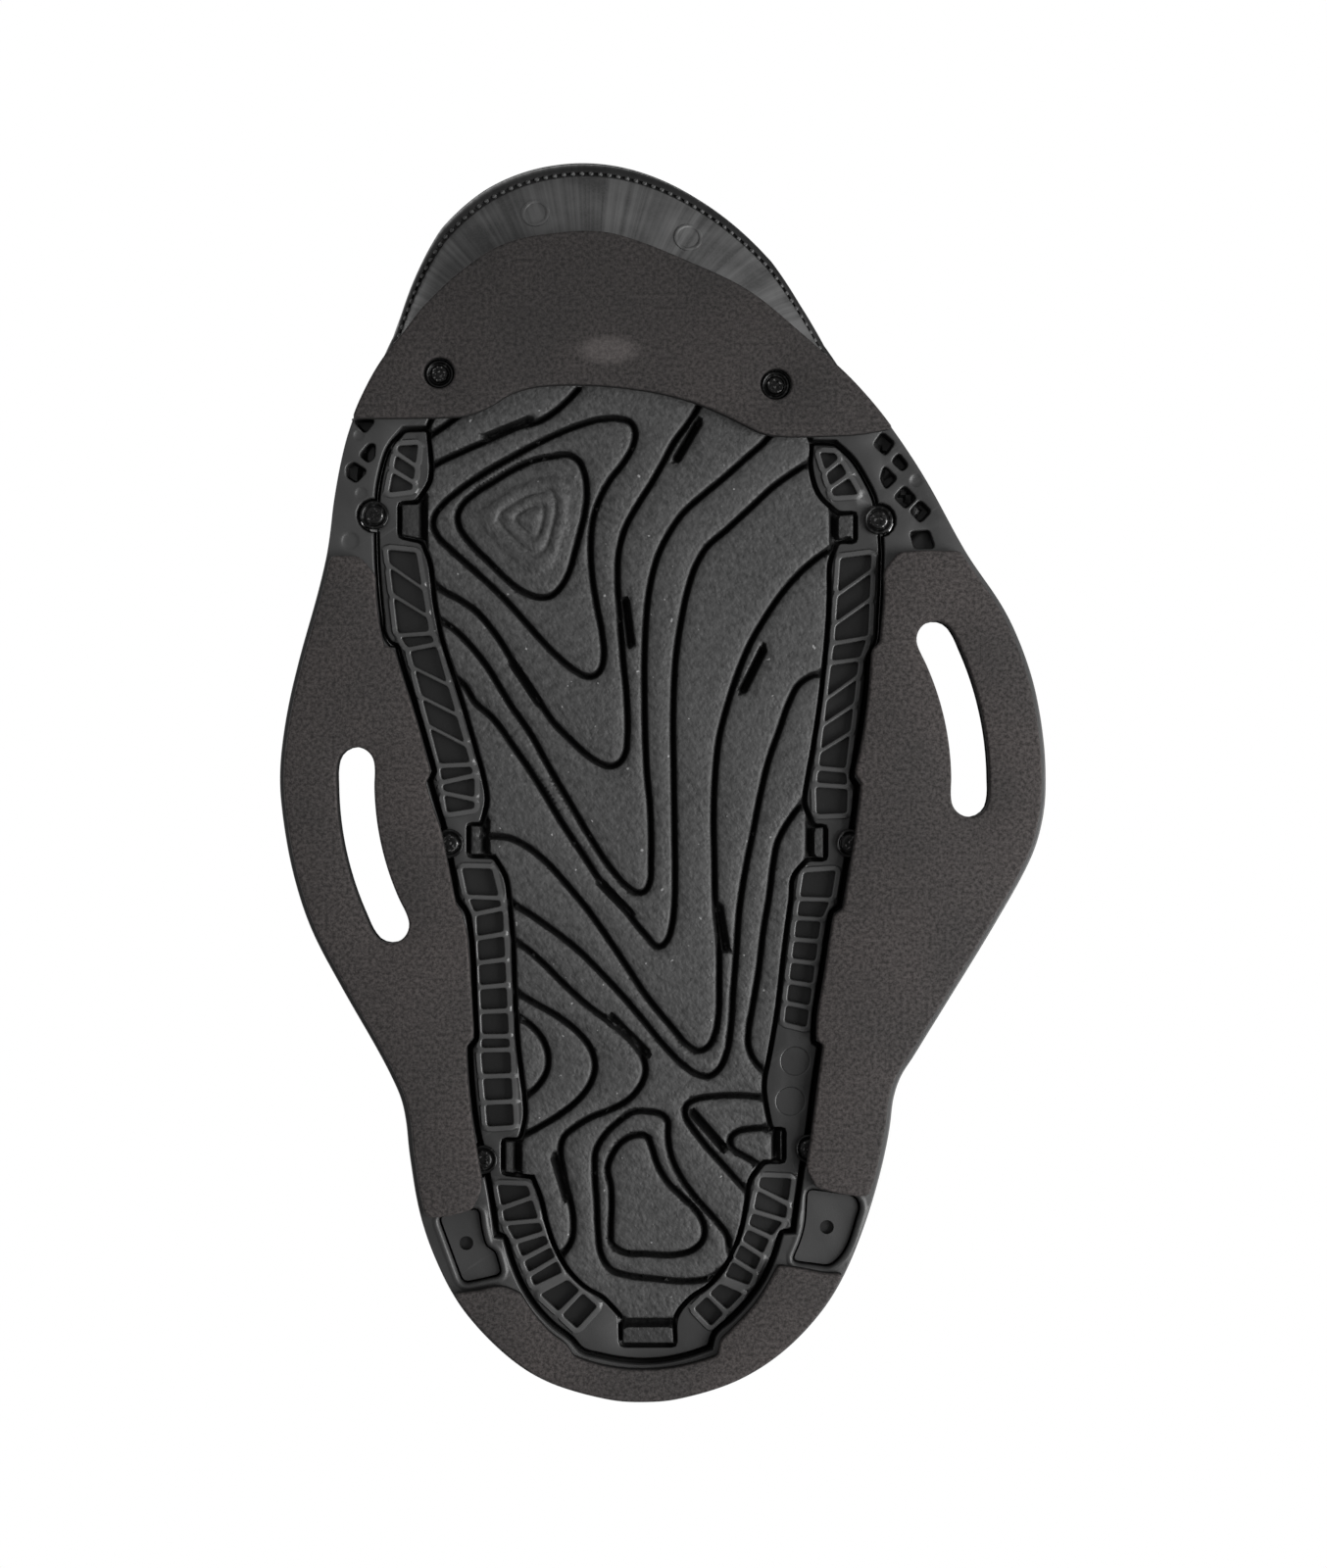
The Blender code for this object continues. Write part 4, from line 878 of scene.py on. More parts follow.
def bridging_windows(windows, outline):
    """Windows in the steps between two bays, which the plain frame leaves closed."""
    tree = point_tree([(outline, True)], 0.3)
    made = []
    for k, first in enumerate(windows):
        for second in windows[k + 1:]:
            way = centroid(second) - centroid(first)
            apart = np.linalg.norm(way)
            way /= apart
            side = np.array([-way[1], way[0]])
            sides = list(zip(facing_corners(first, way, side), facing_corners(second, -way, side)))
            gaps = [float((far - near) @ way) for near, far in sides]
            if (apart > BRIDGE_APART or min(gaps) < BRIDGE_SIDE
                    or not BRIDGE_GAPS[0] < sum(gaps) / 2 < BRIDGE_GAPS[1]):
                continue
            corners = []
            for near, far in sides:
                step = (far - near) / np.linalg.norm(far - near) * RIB_WIDTH
                corners.append((near + step, far - step))
            quad = np.array([corners[0][0], corners[1][0], corners[1][1], corners[0][1]])
            middle = quad.mean(axis=0)
            if inside(np.array([centroid(loop) for loop in windows]), [quad]).any():
                continue
            for share in (1.0, 0.92, 0.84, 0.76, 0.68, 0.6):
                across = ((quad - middle) @ side)[:, None] * side
                shape = [tuple(p) for p in quad + across * (share - 1)]
                edge = resample(shape, 0.4, True)
                clear = distances(tree, edge).min()
                if (clear > RAIL_LEAST and inside(edge, [outline]).all()
                        and abs(area(shape)) > WINDOW_LEAST):
                    made.append(shape)
                    break
    return made


def make_sole_frame():
    """Ladder frame: rounded rails and ribs, deep windows, a wide step that closes the gap."""
    floor, mark = FRAME_BOTTOM + 2.6, FRAME_BOTTOM + 0.3
    outline, through, found = split_loops("sole_frame", FRAME_BOTTOM, ((floor, 0), (mark, 0)))
    outline = soften(smooth_loop(outline, 0.9), 1)
    through = [smooth_loop(loop, 0.6) for loop in through]
    blind = [(hole(loop, 0.45, 2), floor, []) if z == floor else
             (hole(loop, 0.8, 1), FRAME_BOTTOM + 0.75, []) for loop, z in found]
    blind += [(hole(loop, 0.45, 2), floor, []) for loop in
              bridging_windows([loop for loop, z in found if z == floor], outline)]
    windows = [loop for loop, z, _ in blind if z == floor]
    bands = []
    for loop in windows:
        bands += shift(loop, RING_WIDTH) + shift(loop, RING_WIDTH + RING_SLOPE)
    clear = [shift(outline, 1.0)] + [shift(loop, 0.75) for loop in windows + through]
    rim = rounded(0.32, FRAME_TOP, FRAME_BOTTOM, 3)
    piece = plate("sole_frame_ladder", FRAME_NYLON, [outline] + through,
                  [(-0.26, 7.5), (0.6, 6.9)] + [(0.6 + o, z) for o, z in rim], FRAME_TOP,
                  top_rim=[(-0.26, FRAME_TOP)], relief=frame_relief(windows),
                  extra=within(bands, clear), blind=blind,
                  hole_rim=rounded(0.42, FRAME_TOP, FRAME_BOTTOM, 4))
    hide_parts("sole_frame")


# The tread's grooves, each a line of points; a closed one ends where it starts
GROOVES = [
    [(-21, -98), (-24, -94.8), (-28, -91.5), (-31, -89.8), (-36, -88.5), (-40, -86.8),
     (-45, -84.5), (-50, -82.3), (-55, -80), (-59, -77.6)],
    [(-59, -85.8), (-54, -89), (-52, -90.5), (-48, -93)],
    [(-16, -90.3), (-11, -90.5), (-8, -89.5), (-6.9, -87.3), (-7.2, -84.5), (-9.5, -80),
     (-13, -75.5), (-16, -70), (-17.5, -65), (-18, -58), (-17.6, -51), (-16.5, -44),
     (-15.2, -37), (-14.8, -31), (-15.5, -28), (-17, -26.5), (-19, -26.3), (-22, -27.8),
     (-26, -31), (-30, -35), (-34, -39.5), (-38, -44), (-43, -49), (-48, -53.5), (-53, -58),
     (-56, -61), (-57.2, -63.5), (-57, -66), (-55, -69), (-51, -72.5), (-45, -76.7),
     (-38, -80.8), (-31, -84.5), (-24, -87.7), (-19, -89.5), (-16, -90.3)],
    [(-28, -81), (-23.5, -81.5), (-21, -80), (-19.6, -77), (-19, -72), (-19.5, -67),
     (-20.7, -62), (-22, -57), (-23.5, -52), (-25.5, -48.5), (-28, -46.3), (-31, -46),
     (-35, -47.5), (-39, -50.5), (-43.5, -55), (-48, -59.5), (-50.5, -63), (-51.2, -66),
     (-50, -69), (-47, -71.8), (-42, -75), (-37, -78), (-32, -80.2), (-28, -81)],
    [(-59, -51), (-55, -47.8), (-50, -45), (-46.5, -42.5), (-43, -38.5), (-39.5, -33.5),
     (-37.5, -30), (-33, -22.8), (-30.9, -20), (-27, -14.5), (-23, -10.5), (-19, -6.8),
     (-16, -4.8), (-13.5, -3.9), (-11, -4.6), (-9.4, -7), (-8.9, -11), (-9, -20), (-10, -31),
     (-10.8, -42), (-11.3, -50), (-10.9, -58), (-9.3, -63.5), (-6, -69.5), (-2.5, -75),
     (0, -79.5), (3, -85), (6, -89), (8.8, -93.5), (10, -97)],
    [(-58, -41.8), (-52, -38), (-48, -34), (-44, -29), (-40, -22.5), (-38.5, -20), (-33, -12),
     (-28, -3), (-23, 5.5), (-18, 14), (-13, 21.5), (-9, 26), (-6.5, 27.6), (-4.5, 27.3),
     (-3.3, 25), (-3, 20), (-3, 12), (-3.3, 5), (-4, -2), (-4.4, -10), (-4.6, -20), (-4.5, -35),
     (-4, -43), (-3, -50), (-1, -57), (1.5, -62), (5, -67), (10, -71.5), (16, -76.5), (21, -81),
     (25, -84.5), (28, -88)],
    [(-54.5, -28), (-49, -23.5), (-47, -20), (-43, -16.5), (-37, -8.5), (-31, 0.5), (-25, 10.5),
     (-19, 19.5), (-15, 25.5), (-10, 31), (-7, 35), (-4, 38.5), (-1.5, 41), (-0.5, 41),
     (1, 39.5), (2.2, 36), (2.8, 31), (3, 25), (2.9, 15), (2.7, 0), (2.6, -20), (3.3, -32),
     (4.5, -40), (6.2, -48), (8, -53.5), (10.5, -58), (16, -63), (22, -68.5), (28, -74),
     (33, -77.5), (38.5, -81)],
    [(46, -60.6), (40, -57), (35, -53), (30, -47.5), (25.5, -41), (22, -35), (19, -28),
     (16.3, -20), (14, -11), (13, -2), (12.6, 8), (12.8, 20), (13, 30), (14, 42), (14, 50),
     (13.8, 58), (13, 62.5), (11.2, 66), (9, 67), (6, 65.5), (3, 62), (0, 58.5), (-4, 53.5),
     (-9, 46), (-14, 38.5), (-19, 31.5), (-24, 25.5), (-29, 20), (-34, 16), (-38, 14),
     (-45, 13.4)],
    [(42, -27.4), (37, -26.5), (34, -24.5), (31.5, -20), (29, -13), (26.5, -6), (24.5, 2),
     (22.5, 12), (20.5, 22), (19, 32), (18.3, 42), (17.5, 52), (16.8, 62), (15.7, 68),
     (14, 71.5), (11.5, 73.3), (9, 73), (5, 70.5), (1, 66.5), (-4, 60.5), (-9, 54.5), (-15, 48),
     (-21, 42), (-28, 36.5), (-33, 33), (-39.5, 29)],
    [(37, 2.5), (32.5, 8), (30.5, 11), (28.5, 15), (27.5, 20), (26.5, 28), (25, 37), (23.8, 47),
     (22.3, 56), (21.3, 62), (21.3, 66), (22.5, 69), (25, 72), (27, 73.4)],
    [(-39, 38.5), (-34, 41.5), (-30, 45), (-25, 50), (-19, 55.5), (-13, 60), (-7.5, 65),
     (-5, 68.5), (-4.3, 72), (-5.5, 75.5), (-8.5, 79), (-13, 81.5), (-18, 83.5), (-22, 86),
     (-24.8, 88.5), (-25.5, 91), (-25, 96), (-24, 101), (-22.7, 106), (-22.3, 110), (-22.7, 114),
     (-26, 119)],
    [(-38.5, 51.3), (-32, 55), (-26, 58.5), (-21, 62.5), (-17.7, 67), (-16.9, 71), (-18, 75),
     (-21, 79), (-26, 83), (-31, 86), (-36.5, 89)],
    [(-38, 57.4), (-33, 60.5), (-30, 64), (-28.6, 68), (-28.9, 72), (-31, 75.5), (-37, 80.2)],
    [(19, 119), (17, 117.5), (16, 113), (13, 109), (8.5, 104), (4.5, 98.5), (2, 93), (1.2, 88),
     (1, 84), (-0.3, 82.8), (-4, 82), (-7, 82), (-11, 84.5), (-15, 88.5), (-16.8, 92), (-17, 97),
     (-16.5, 105), (-16.2, 112), (-15.3, 118), (-13, 121.5), (-9, 122.8), (-2, 123.7),
     (6, 124.3), (11.5, 123.5), (16, 120.5)],
    [(-6, 87.8), (-9.5, 89), (-12.5, 92.5), (-13.8, 96.5), (-13, 100.5), (-12.8, 106),
     (-13, 112), (-12.8, 115), (-10.5, 116.8), (-4, 117.5), (3, 117.7), (7.5, 116.5), (10, 114),
     (10.3, 111), (8.8, 107.5), (5, 103.5), (1, 99.5), (-1.5, 95), (-3, 90.5), (-4, 88.3),
     (-6, 87.8)],
    [(27, 78.7), (18, 78), (12, 78.3), (8, 79), (5.7, 80.5), (5.5, 83), (7.5, 86.5), (11, 91),
     (15.5, 96), (19.5, 100.5), (23, 104)],
    [(28, 86), (22, 86.3), (18.5, 87), (16.8, 88.5), (17, 91), (20, 93), (26, 96.5)],
]
# Short deep slots in the tread, from end to end
SLOTS = [((-43.9, -85.9), (-33.6, -90.1)), ((3.5, -80.5), (8.7, -89.3)),
         ((-37.5, -29.7), (-31, -20)), ((-9.3, -45), (-8, -34.5)), ((25, -33), (20, -23)),
         ((-15.4, 25.2), (-8.4, 32.5)), ((14, 31.5), (15.7, 41.5)),
         ((-12.7, 58.8), (-4.2, 67.3)), ((7.5, 82.5), (15, 91)), ((-26.9, 93.7), (-24, 103.4))]
# Across each tab of the tread, where it is set off from the body
TAB_GROOVES = [((-59.6, -58.8), (-59.6, -70.6)), ((42.6, -68.4), (42.6, -58.8)),
               ((36.6, 9.6), (36.6, 20.4)), ((-44.2, 19.8), (-44.2, 9.6)),
               ((28.2, 85.2), (28.2, 96)), ((-36.2, 99), (-36.2, 87.8)), ((-12, 134.6), (5, 134.6))]
# Depth of a groove and of a slot by the distance from its middle line
GROOVE_PROFILE = ((0.0, 3.3), (0.4, 2.3), (0.62, 1.4), (0.8, 0.6), (1.05, 0.34), (1.6, 0.22),
                  (2.4, 0.11), (3.6, 0.0))
SLOT_PROFILE = ((0.0, 3.8), (0.55, 3.2), (0.85, 2.2), (1.05, 1.0), (1.25, 0.3), (1.6, 0.0))
TREAD_MIDDLE = np.array((-6.0, 20.0))
TAB_SINK = 0.55          # how far the tabs lie behind the tread's face
TAB_REACH = 7.0          # how far out from its groove a tab reaches
ISLAND = GROOVES[3]
# Shares of the island's outline, from its middle
ISLAND_RINGS = (0.22, 0.44)
PANEL_EDGES = (0.60, 0.66, 0.70)


def island_ring(share):
    """The island's outline, shrunk to a share about its middle."""
    middle = centroid(ISLAND)
    return [tuple(middle + (np.array(p) - middle) * share) for p in curve(ISLAND[:-1], 1.5, True)]


def make_tread():
    """Rubber outsole: flowing grooves with rounded shoulders, short deep slots, set-off tabs."""
    outline = [smooth_loop(loop, 0.9) for loop in flat_loops("tread", TREAD_BOTTOM)]
    lines = [([tuple(p) for p in curve(g[:-1] if g[0] == g[-1] else g, 1.1, g[0] == g[-1])],
              g[0] == g[-1]) for g in GROOVES]
    slots = [(list(pair), False) for pair in SLOTS + TAB_GROOVES]
    cuts = ((point_tree(lines, 0.15), GROOVE_PROFILE), (point_tree(slots, 0.15), SLOT_PROFILE))
    panel_edges = [island_ring(share) for share in PANEL_EDGES]
    panel_tree = point_tree([(panel_edges[1], True)], 0.3)
    ring_tree = point_tree([(island_ring(share), True) for share in ISLAND_RINGS], 0.3)

    def depth(flat):
        lift = np.zeros(len(flat))
        in_panel = inside(flat, [panel_edges[1]])
        for k, (x, y) in enumerate(flat):
            for tree, profile in cuts:
                away = tree.find((x, y, 0))[2]
                lift[k] = max(lift[k], np.interp(away, *zip(*profile)))
            away = panel_tree.find((x, y, 0))[2] * (1 if in_panel[k] else -1)
            lift[k] -= 0.6 * min(1.0, max(0.0, 0.5 + away / 0.9))
        for start, end in np.array(TAB_GROOVES):
            along = (end - start) / np.linalg.norm(end - start)
            out = np.array([-along[1], along[0]])
            out *= np.sign(out @ ((start + end) / 2 - TREAD_MIDDLE))
            reach = (flat - start) @ out
            width = (flat - start) @ along
            beyond = ((reach > 0) & (reach < TAB_REACH) & (width > -1)
                      & (width < np.linalg.norm(end - start) + 1))
            lift = np.where(beyond, np.maximum(lift, TAB_SINK), lift)
        return lift + 0.6 * ridge(distances(ring_tree, flat), 0.8)

    extra = []
    for group, profile in ((lines, GROOVE_PROFILE), (slots, SLOT_PROFILE)):
        for points, closed in group:
            p = resample(points, 1.1 if profile == GROOVE_PROFILE else 0.5, closed)
            along = np.gradient(p, axis=0)
            along /= np.linalg.norm(along, axis=1)[:, None]
            left = np.stack([-along[:, 1], along[:, 0]], axis=1)
            for away, _ in profile:
                for side in ((1, -1) if away else (1,)):
                    extra += [tuple(q) for q in p + left * away * side]
    for ring in panel_edges:
        extra += ring
    for share in ISLAND_RINGS:
        for scale in (share - 0.06, share - 0.03, share, share + 0.03, share + 0.06):
            extra += island_ring(scale)
    low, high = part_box("tread")
    extra += lattice((low.x / MM, low.y / MM), (high.x / MM, high.y / MM), 3.0)
    piece = plate("tread_outsole", TREAD_RUBBER, outline, rounded(0.45, TREAD_TOP, TREAD_BOTTOM, 3),
                  TREAD_TOP, relief=depth, angle=60,
                  extra=within(extra, [shift(loop, 0.8) for loop in outline]))
    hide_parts("tread")


def make_fasteners():
    """A detailed washer and screw at each CAD washer, and the nuts in their CAD shape."""
    for node in sorted(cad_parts):
        if node.startswith("washer_"):
            label = node[len("washer_"):]
            low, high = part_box(node)
            at = ((low.x + high.x) / 2 / MM, (low.y + high.y) / 2 / MM)
            make_screw(label, at, low.z / MM, high.z / MM)
        elif node.startswith("nut_"):
            dress(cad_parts[node], SCREW_STEEL)


def make_screw(label, at, low, high):
    """One cup washer, and its screw with a six-lobed socket. low and high are the washer's z."""
    washer = Shape()
    bore, rim = 1.85, 3.6
    profile = [(bore, high), (rim, high), (rim, low + 0.3), (rim - 0.1, low + 0.08),
               (rim - 0.3, low), (rim - 0.55, low + 0.02), (rim - 0.75, low + 0.16),
               (rim - 0.95, low + 0.42), (2.4, low + 0.5), (bore, low + 0.5), (bore, high)]
    rows = [[(x, y, z) for x, y in circle(at, r, 56)] for r, z in profile]
    washer.grid(rows, closed=True)
    piece = washer.finish(f"cup_washer_{label}", WASHER_STEEL, 50)
    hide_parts(f"washer_{label}")

    screw = Shape()
    floor = low + 0.4
    lobes = []
    for k in range(48):
        a = 2 * math.pi * k / 48
        r = 1.12 + 0.2 * math.cos(6 * a)
        lobes.append((at[0] + r * math.cos(a), at[1] + r * math.sin(a)))
    rows = [[(x, y, z) for x, y in circle(at, r, 48)]
            for r, z in ((1.5, high + 3), (1.5, high - 0.1), (2.25, high - 0.3), (2.22, low + 0.12),
                         (2.1, low - 0.02), (1.85, low - 0.12), (1.62, low - 0.15))]
    rows.append([(x, y, low - 0.13) for x, y in lobes])
    rows.append([(x, y, floor) for x, y in lobes])
    made = screw.grid(rows, closed=True)
    screw.fan(made[-1])
    screw.fan(made[0][::-1])
    piece = screw.finish(f"sole_screw_{label}", SCREW_STEEL, 35)
    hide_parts(f"screw_{label}")


# ---------------------------------------------------------------- the boot's surface
# By height z: front and back centre lines (y), half width and share of the leg's shape, and the
# lengths over which the front and the back close. By y: the foot's half width and middle line.
FRONT = [(8.8, -138), (12, -146), (16, -151), (22, -155.5), (32, -158), (45, -155.5), (55, -147.5),
         (62, -135), (68, -118), (75, -98), (84, -75), (95, -52), (108, -32), (124, -14),
         (142, 0), (165, 9), (190, 12), (215, 9), (250, 1)]
BACK = [(8.8, 141), (14, 146), (20, 148.5), (40, 151), (60, 150), (85, 144.5), (110, 139),
        (140, 137), (180, 139.5), (215, 144), (250, 149)]
LEG_HALF_WIDTH = [(8.8, 42), (60, 42), (110, 41), (140, 43), (190, 48), (250, 54)]
LEG_SHARE = [(8.8, 0), (40, 0), (70, 0.25), (100, 0.75), (130, 1), (250, 1)]
FRONT_CLOSE = [(8.8, 60), (32, 60), (45, 74), (55, 105), (62, 140), (75, 170), (88, 148),
               (100, 115), (124, 76), (160, 66), (250, 74)]
BACK_CLOSE = [(8.8, 40), (60, 42), (110, 52), (140, 62), (250, 74)]
FOOT_HALF_WIDTH = [(-160, 50), (-120, 54), (-90, 60), (-62, 63), (-30, 60), (0, 54), (30, 49),
                   (60, 45.5), (100, 43), (155, 41)]
FOOT_MIDDLE = [(-160, -20), (-115, -14.5), (-60, -9), (0, -5.5), (60, -5), (155, -4.5)]
SOLE_LOW, SOLE_TOP = 8.8, 22.0
UPPER_LOW = SOLE_TOP + 0.3
LEG_MIDDLE = -5.0
SOLE_EDGE_HEIGHT, SOLE_EDGE_DEPTH = 8.0, 7.0

THROAT = 0.078           # half width of the tongue's opening, as a share of the way round
VAMP_EDGE = [(22, 0.213), (60, 0.175), (74, 0.122), (84, THROAT + 0.004), (90, THROAT),
             (250, THROAT)]
THROAT_START = 84.0
TOE_CAP_TOP = 56.0
CUFF_LOW, CUFF_TOP = 128.0, 229.0
COLLAR_TOP = 247.0
TONGUE_HINGE, TONGUE_TOP = 119.0, 247.6
BACK_SEAM_X = -4.7
# Shares of the way round: half the gap at the vamp's seam and at the lining's, and where a side's
# sheet ends, just short of the back seam
SEAM_GAP, LINING_GAP = 0.0011, 0.0022
QUARTER_END, LINING_END = 0.4988, 0.4965
LINING_THROAT = 0.09     # half width of the linings' opening, at least
SEAM_INSET = 2.5         # of a stitch line from its sheet's edge

# Layers of the upper, measured outwards from the boot's surface: (inner face, outer face)
LEATHER_LAYER = (-3.1, -0.1)
LINING_LAYER = (-10.2, -4.9)
COUNTER_LAYER = (0.8, 3.2)
STRAP_BASE_LAYER = (1.0, 3.6)
STRAP_LAYER = (2.6, 5.0)
STRAP_TIP_LAYER = (2.4, 5.2)
PATCH_LAYER = (0.9, 2.0)
CRADLE_LAYER = (3.6, 6.6)
FLAT_LAYER = (-0.3, 0.9)   # the tongue's tab and the back seam's strip
CRADLE_FROM, CRADLE_RIBS = 0.19, 32
LOWER_STRAP = dict(at=(-45.0, 98.0), along=(0.835, 0.55), half=16.0, base=0.03,
                   root=-0.2, end=0.185)
UPPER_STRAP = dict(at=(12.0, 196.0), along=(-0.10, 0.995), half=19.0, base=0.055,
                   root=-0.215, end=0.205)


def table_value(table, at):
    """A smooth curve through the (position, value) pairs of a table, flat past its ends."""
    x, y = np.array(table, float).T
    slope = np.concatenate([[(y[1] - y[0]) / (x[1] - x[0])], (y[2:] - y[:-2]) / (x[2:] - x[:-2]),
                            [(y[-1] - y[-2]) / (x[-1] - x[-2])]])
    at = np.clip(at, x[0], x[-1])
    k = np.clip(np.searchsorted(x, at, side="right") - 1, 0, len(x) - 2)
    span = x[k + 1] - x[k]
    t = (at - x[k]) / span
    return between(t, span, y[k], y[k + 1], slope[k], slope[k + 1])


def end_rounding(share):
    """How far the outline has opened, from 0 at its tip to 1 where it is full."""
    return np.sqrt(np.maximum(0.0, 1 - (1 - np.minimum(share, 1.0)) ** 2))


def wrap(u):
    """Bring a way-round position into -0.5 to 0.5."""
    return (u + 0.5) % 1.0 - 0.5


def boot_point(u, z):
    """Points of the upper's outer surface: u is 0 at the front, +-0.5 at the back seam."""
    u, z = np.broadcast_arrays(np.asarray(u, float), np.asarray(z, float))
    front, back = table_value(FRONT, z), table_value(BACK, z)
    y = front + (back - front) * (1 - np.cos(2 * np.pi * np.abs(u))) / 2
    leg = table_value(LEG_SHARE, z)
    half = (1 - leg) * table_value(FOOT_HALF_WIDTH, y) + leg * table_value(LEG_HALF_WIDTH, z)
    edge = np.clip(1 - (z - SOLE_LOW) / SOLE_EDGE_HEIGHT, 0, 1)
    half = half - SOLE_EDGE_DEPTH * (1 - np.sqrt(1 - edge**2))
    centre = (1 - leg) * table_value(FOOT_MIDDLE, y) + leg * LEG_MIDDLE
    x = half * end_rounding((y - front) / table_value(FRONT_CLOSE, z))
    x = x * end_rounding((back - y) / table_value(BACK_CLOSE, z))
    return np.stack([centre + np.copysign(x, u), y, z], axis=-1)


def boot_offset(u, z, distance, level=False):
    """Surface points moved outwards along the surface normal, or along its level part."""
    u, z = np.broadcast_arrays(np.asarray(u, float), np.asarray(z, float))
    step = 0.004
    side = boot_point(wrap(u + step), z) - boot_point(wrap(u - step), z)
    up = boot_point(u, z + 0.5) - boot_point(u, z - 0.5)
    normal = np.cross(side, up)
    if level:
        normal[..., 2] = 0
    normal /= np.linalg.norm(normal, axis=-1)[..., None]
    return boot_point(u, z) + normal * np.asarray(distance)[..., None]


def strap_point(strap, u, width, distance):
    """Points of a strap: where the way round u meets the plane `width` off the strap's middle."""
    (y0, z0), (ny, nz) = strap["at"], strap["along"]
    u, width = np.broadcast_arrays(np.asarray(u, float), np.asarray(width, float))
    low, high = np.full(u.shape, 24.0), np.full(u.shape, 246.0)
    for _ in range(30):
        z = (low + high) / 2
        point = boot_point(u, z)
        below = (point[..., 1] - y0) * ny + (point[..., 2] - z0) * nz < width
        low, high = np.where(below, z, low), np.where(below, high, z)
    return boot_offset(u, (low + high) / 2, distance)


# ---------------------------------------------------------------- panels and stitching
EDGE_STEPS = (0.0, 0.18, 0.5, 1.0, 1.6, 2.1, 2.5, 2.9, 3.4)


def stops(length, spacing):
    """Shares of a length: close together near both ends, even between them."""
    near = np.array([e for e in EDGE_STEPS if e < length * 0.3])
    last = near[-1]
    count = max(2, round((length - 2 * last) / spacing))
    return np.concatenate([near[:-1], np.linspace(last, length - last, count + 1),
                           length - near[:-1][::-1]]) / length


def rim_drop(away, radius):
    """How far a face has dropped at a distance from its edge, where the edge is rounded."""
    share = np.clip(1 - away / radius, 0, 1)
    return radius * (1 - np.sqrt(1 - share**2))


SEAM_DEPTH, SEAM_HALF_WIDTH = 0.35, 0.45


def panel(name, finish, place, layer, relief=None, spacing=2.4, radius=1.0, seams=(),
          body="root"):
    """A sheet between the two faces of a layer, with rounded edges and sunk seam lines.

    place(s, t, d) gives points: s and t from 0 to 1, d outwards from the boot's surface.
    relief(s, t) lifts the outer face, and seams lists distances of seam lines from the edge."""
    length, height = sheet_size(place)
    s, t = np.meshgrid(stops(length, spacing), stops(height, spacing))
    away = np.minimum(np.minimum(s, 1 - s) * length, np.minimum(t, 1 - t) * height)
    drop = rim_drop(away, radius)
    lift = -drop
    for seam in seams:
        lift = lift - SEAM_DEPTH * np.exp(-((away - seam) / SEAM_HALF_WIDTH) ** 2)
    if relief:
        lift = lift + relief(s, t) * np.clip(away / 2.5, 0, 1)
    shape = Shape()
    faces = []   # the outer one, then the inner one
    for distance in (layer[1] + lift, layer[0] + drop * 0.6):
        rows = place(s, t, distance)
        faces.append(np.array(shape.grid(rows)))
        shape.cloth += [(a * length * MM, b * height * MM, 0) for a, b in zip(s.flat, t.flat)]
    rings = [np.concatenate([f[0, :-1], f[:-1, -1], f[-1, :0:-1], f[:0:-1, 0]]) for f in faces]
    shape.strip([int(k) for k in rings[0]], [int(k) for k in rings[1]])
    return shape.finish(name, finish, 50, body)


def seam_line(place, distance, sides="tblr"):
    """Points and normals of the stitch lines along a sheet's top, bottom, left and right edges."""
    length, height = sheet_size(place)
    x, y = SEAM_INSET / length, SEAM_INSET / height
    lines = []
    for side in sides:
        count = max(8, round((length if side in "tb" else height) / 1.2))
        run = np.linspace(x, 1 - x, count) if side in "tb" else np.linspace(y, 1 - y, count)
        fixed = {"b": y, "t": 1 - y, "l": x, "r": 1 - x}[side]
        s, t = (run, np.full(count, fixed)) if side in "tb" else (np.full(count, fixed), run)
        points = place(s, t, np.full(count, distance))
        lines.append((points, place(s, t, np.full(count, distance + 1.0)) - points))
    return lines


def thread(name, finish, lines, pitch=3.0, share=0.72, width=0.62, sink=0.1, body="root"):
    """Stitches: short capsules of thread along lines of (points, normals).

    share is the part of the pitch that a stitch covers, and sink how far its middle lies in."""
    turns, rings = 6, ((-0.86, 0.62), (-0.35, 1.0), (0.35, 1.0), (0.86, 0.62))
    shape = Shape()
    for points, normals in lines:
        at = run_lengths(points)
        count = int(at[-1] / pitch)
        if count < 1:
            continue
        centres = (np.arange(count) + 0.5) * at[-1] / count
        half = at[-1] / count * share / 2

        def along(s):
            return np.stack([np.interp(s, at, points[:, k]) for k in range(3)], axis=1)

        up = np.stack([np.interp(centres, at, normals[:, k]) for k in range(3)], axis=1)
        up /= np.linalg.norm(up, axis=1)[:, None]
        first, last = along(centres - half), along(centres + half)
        run = last - first
        run /= np.linalg.norm(run, axis=1)[:, None]
        side = np.cross(run, up)
        middle = (first + last) / 2 - up * sink
        for k in range(count):
            low = shape.add([middle[k] - run[k] * half])
            before = None
            for reach, girth in rings:
                ring = []
                for j in range(turns):
                    a = 2 * math.pi * j / turns
                    ring.append(middle[k] + run[k] * half * reach + side[k] * girth * width / 2
                                * math.cos(a) + up[k] * girth * width / 2 * math.sin(a))
                made = shape.add(ring)
                if before is None:
                    shape.faces += [(low[0], made[(j + 1) % turns], made[j]) for j in range(turns)]
                else:
                    shape.strip(before, made)
                before = made
            high = shape.add([middle[k] + run[k] * half])
            shape.faces += [(high[0], before[j], before[(j + 1) % turns]) for j in range(turns)]
    return shape.finish(name, finish, 80, body, weld=0)


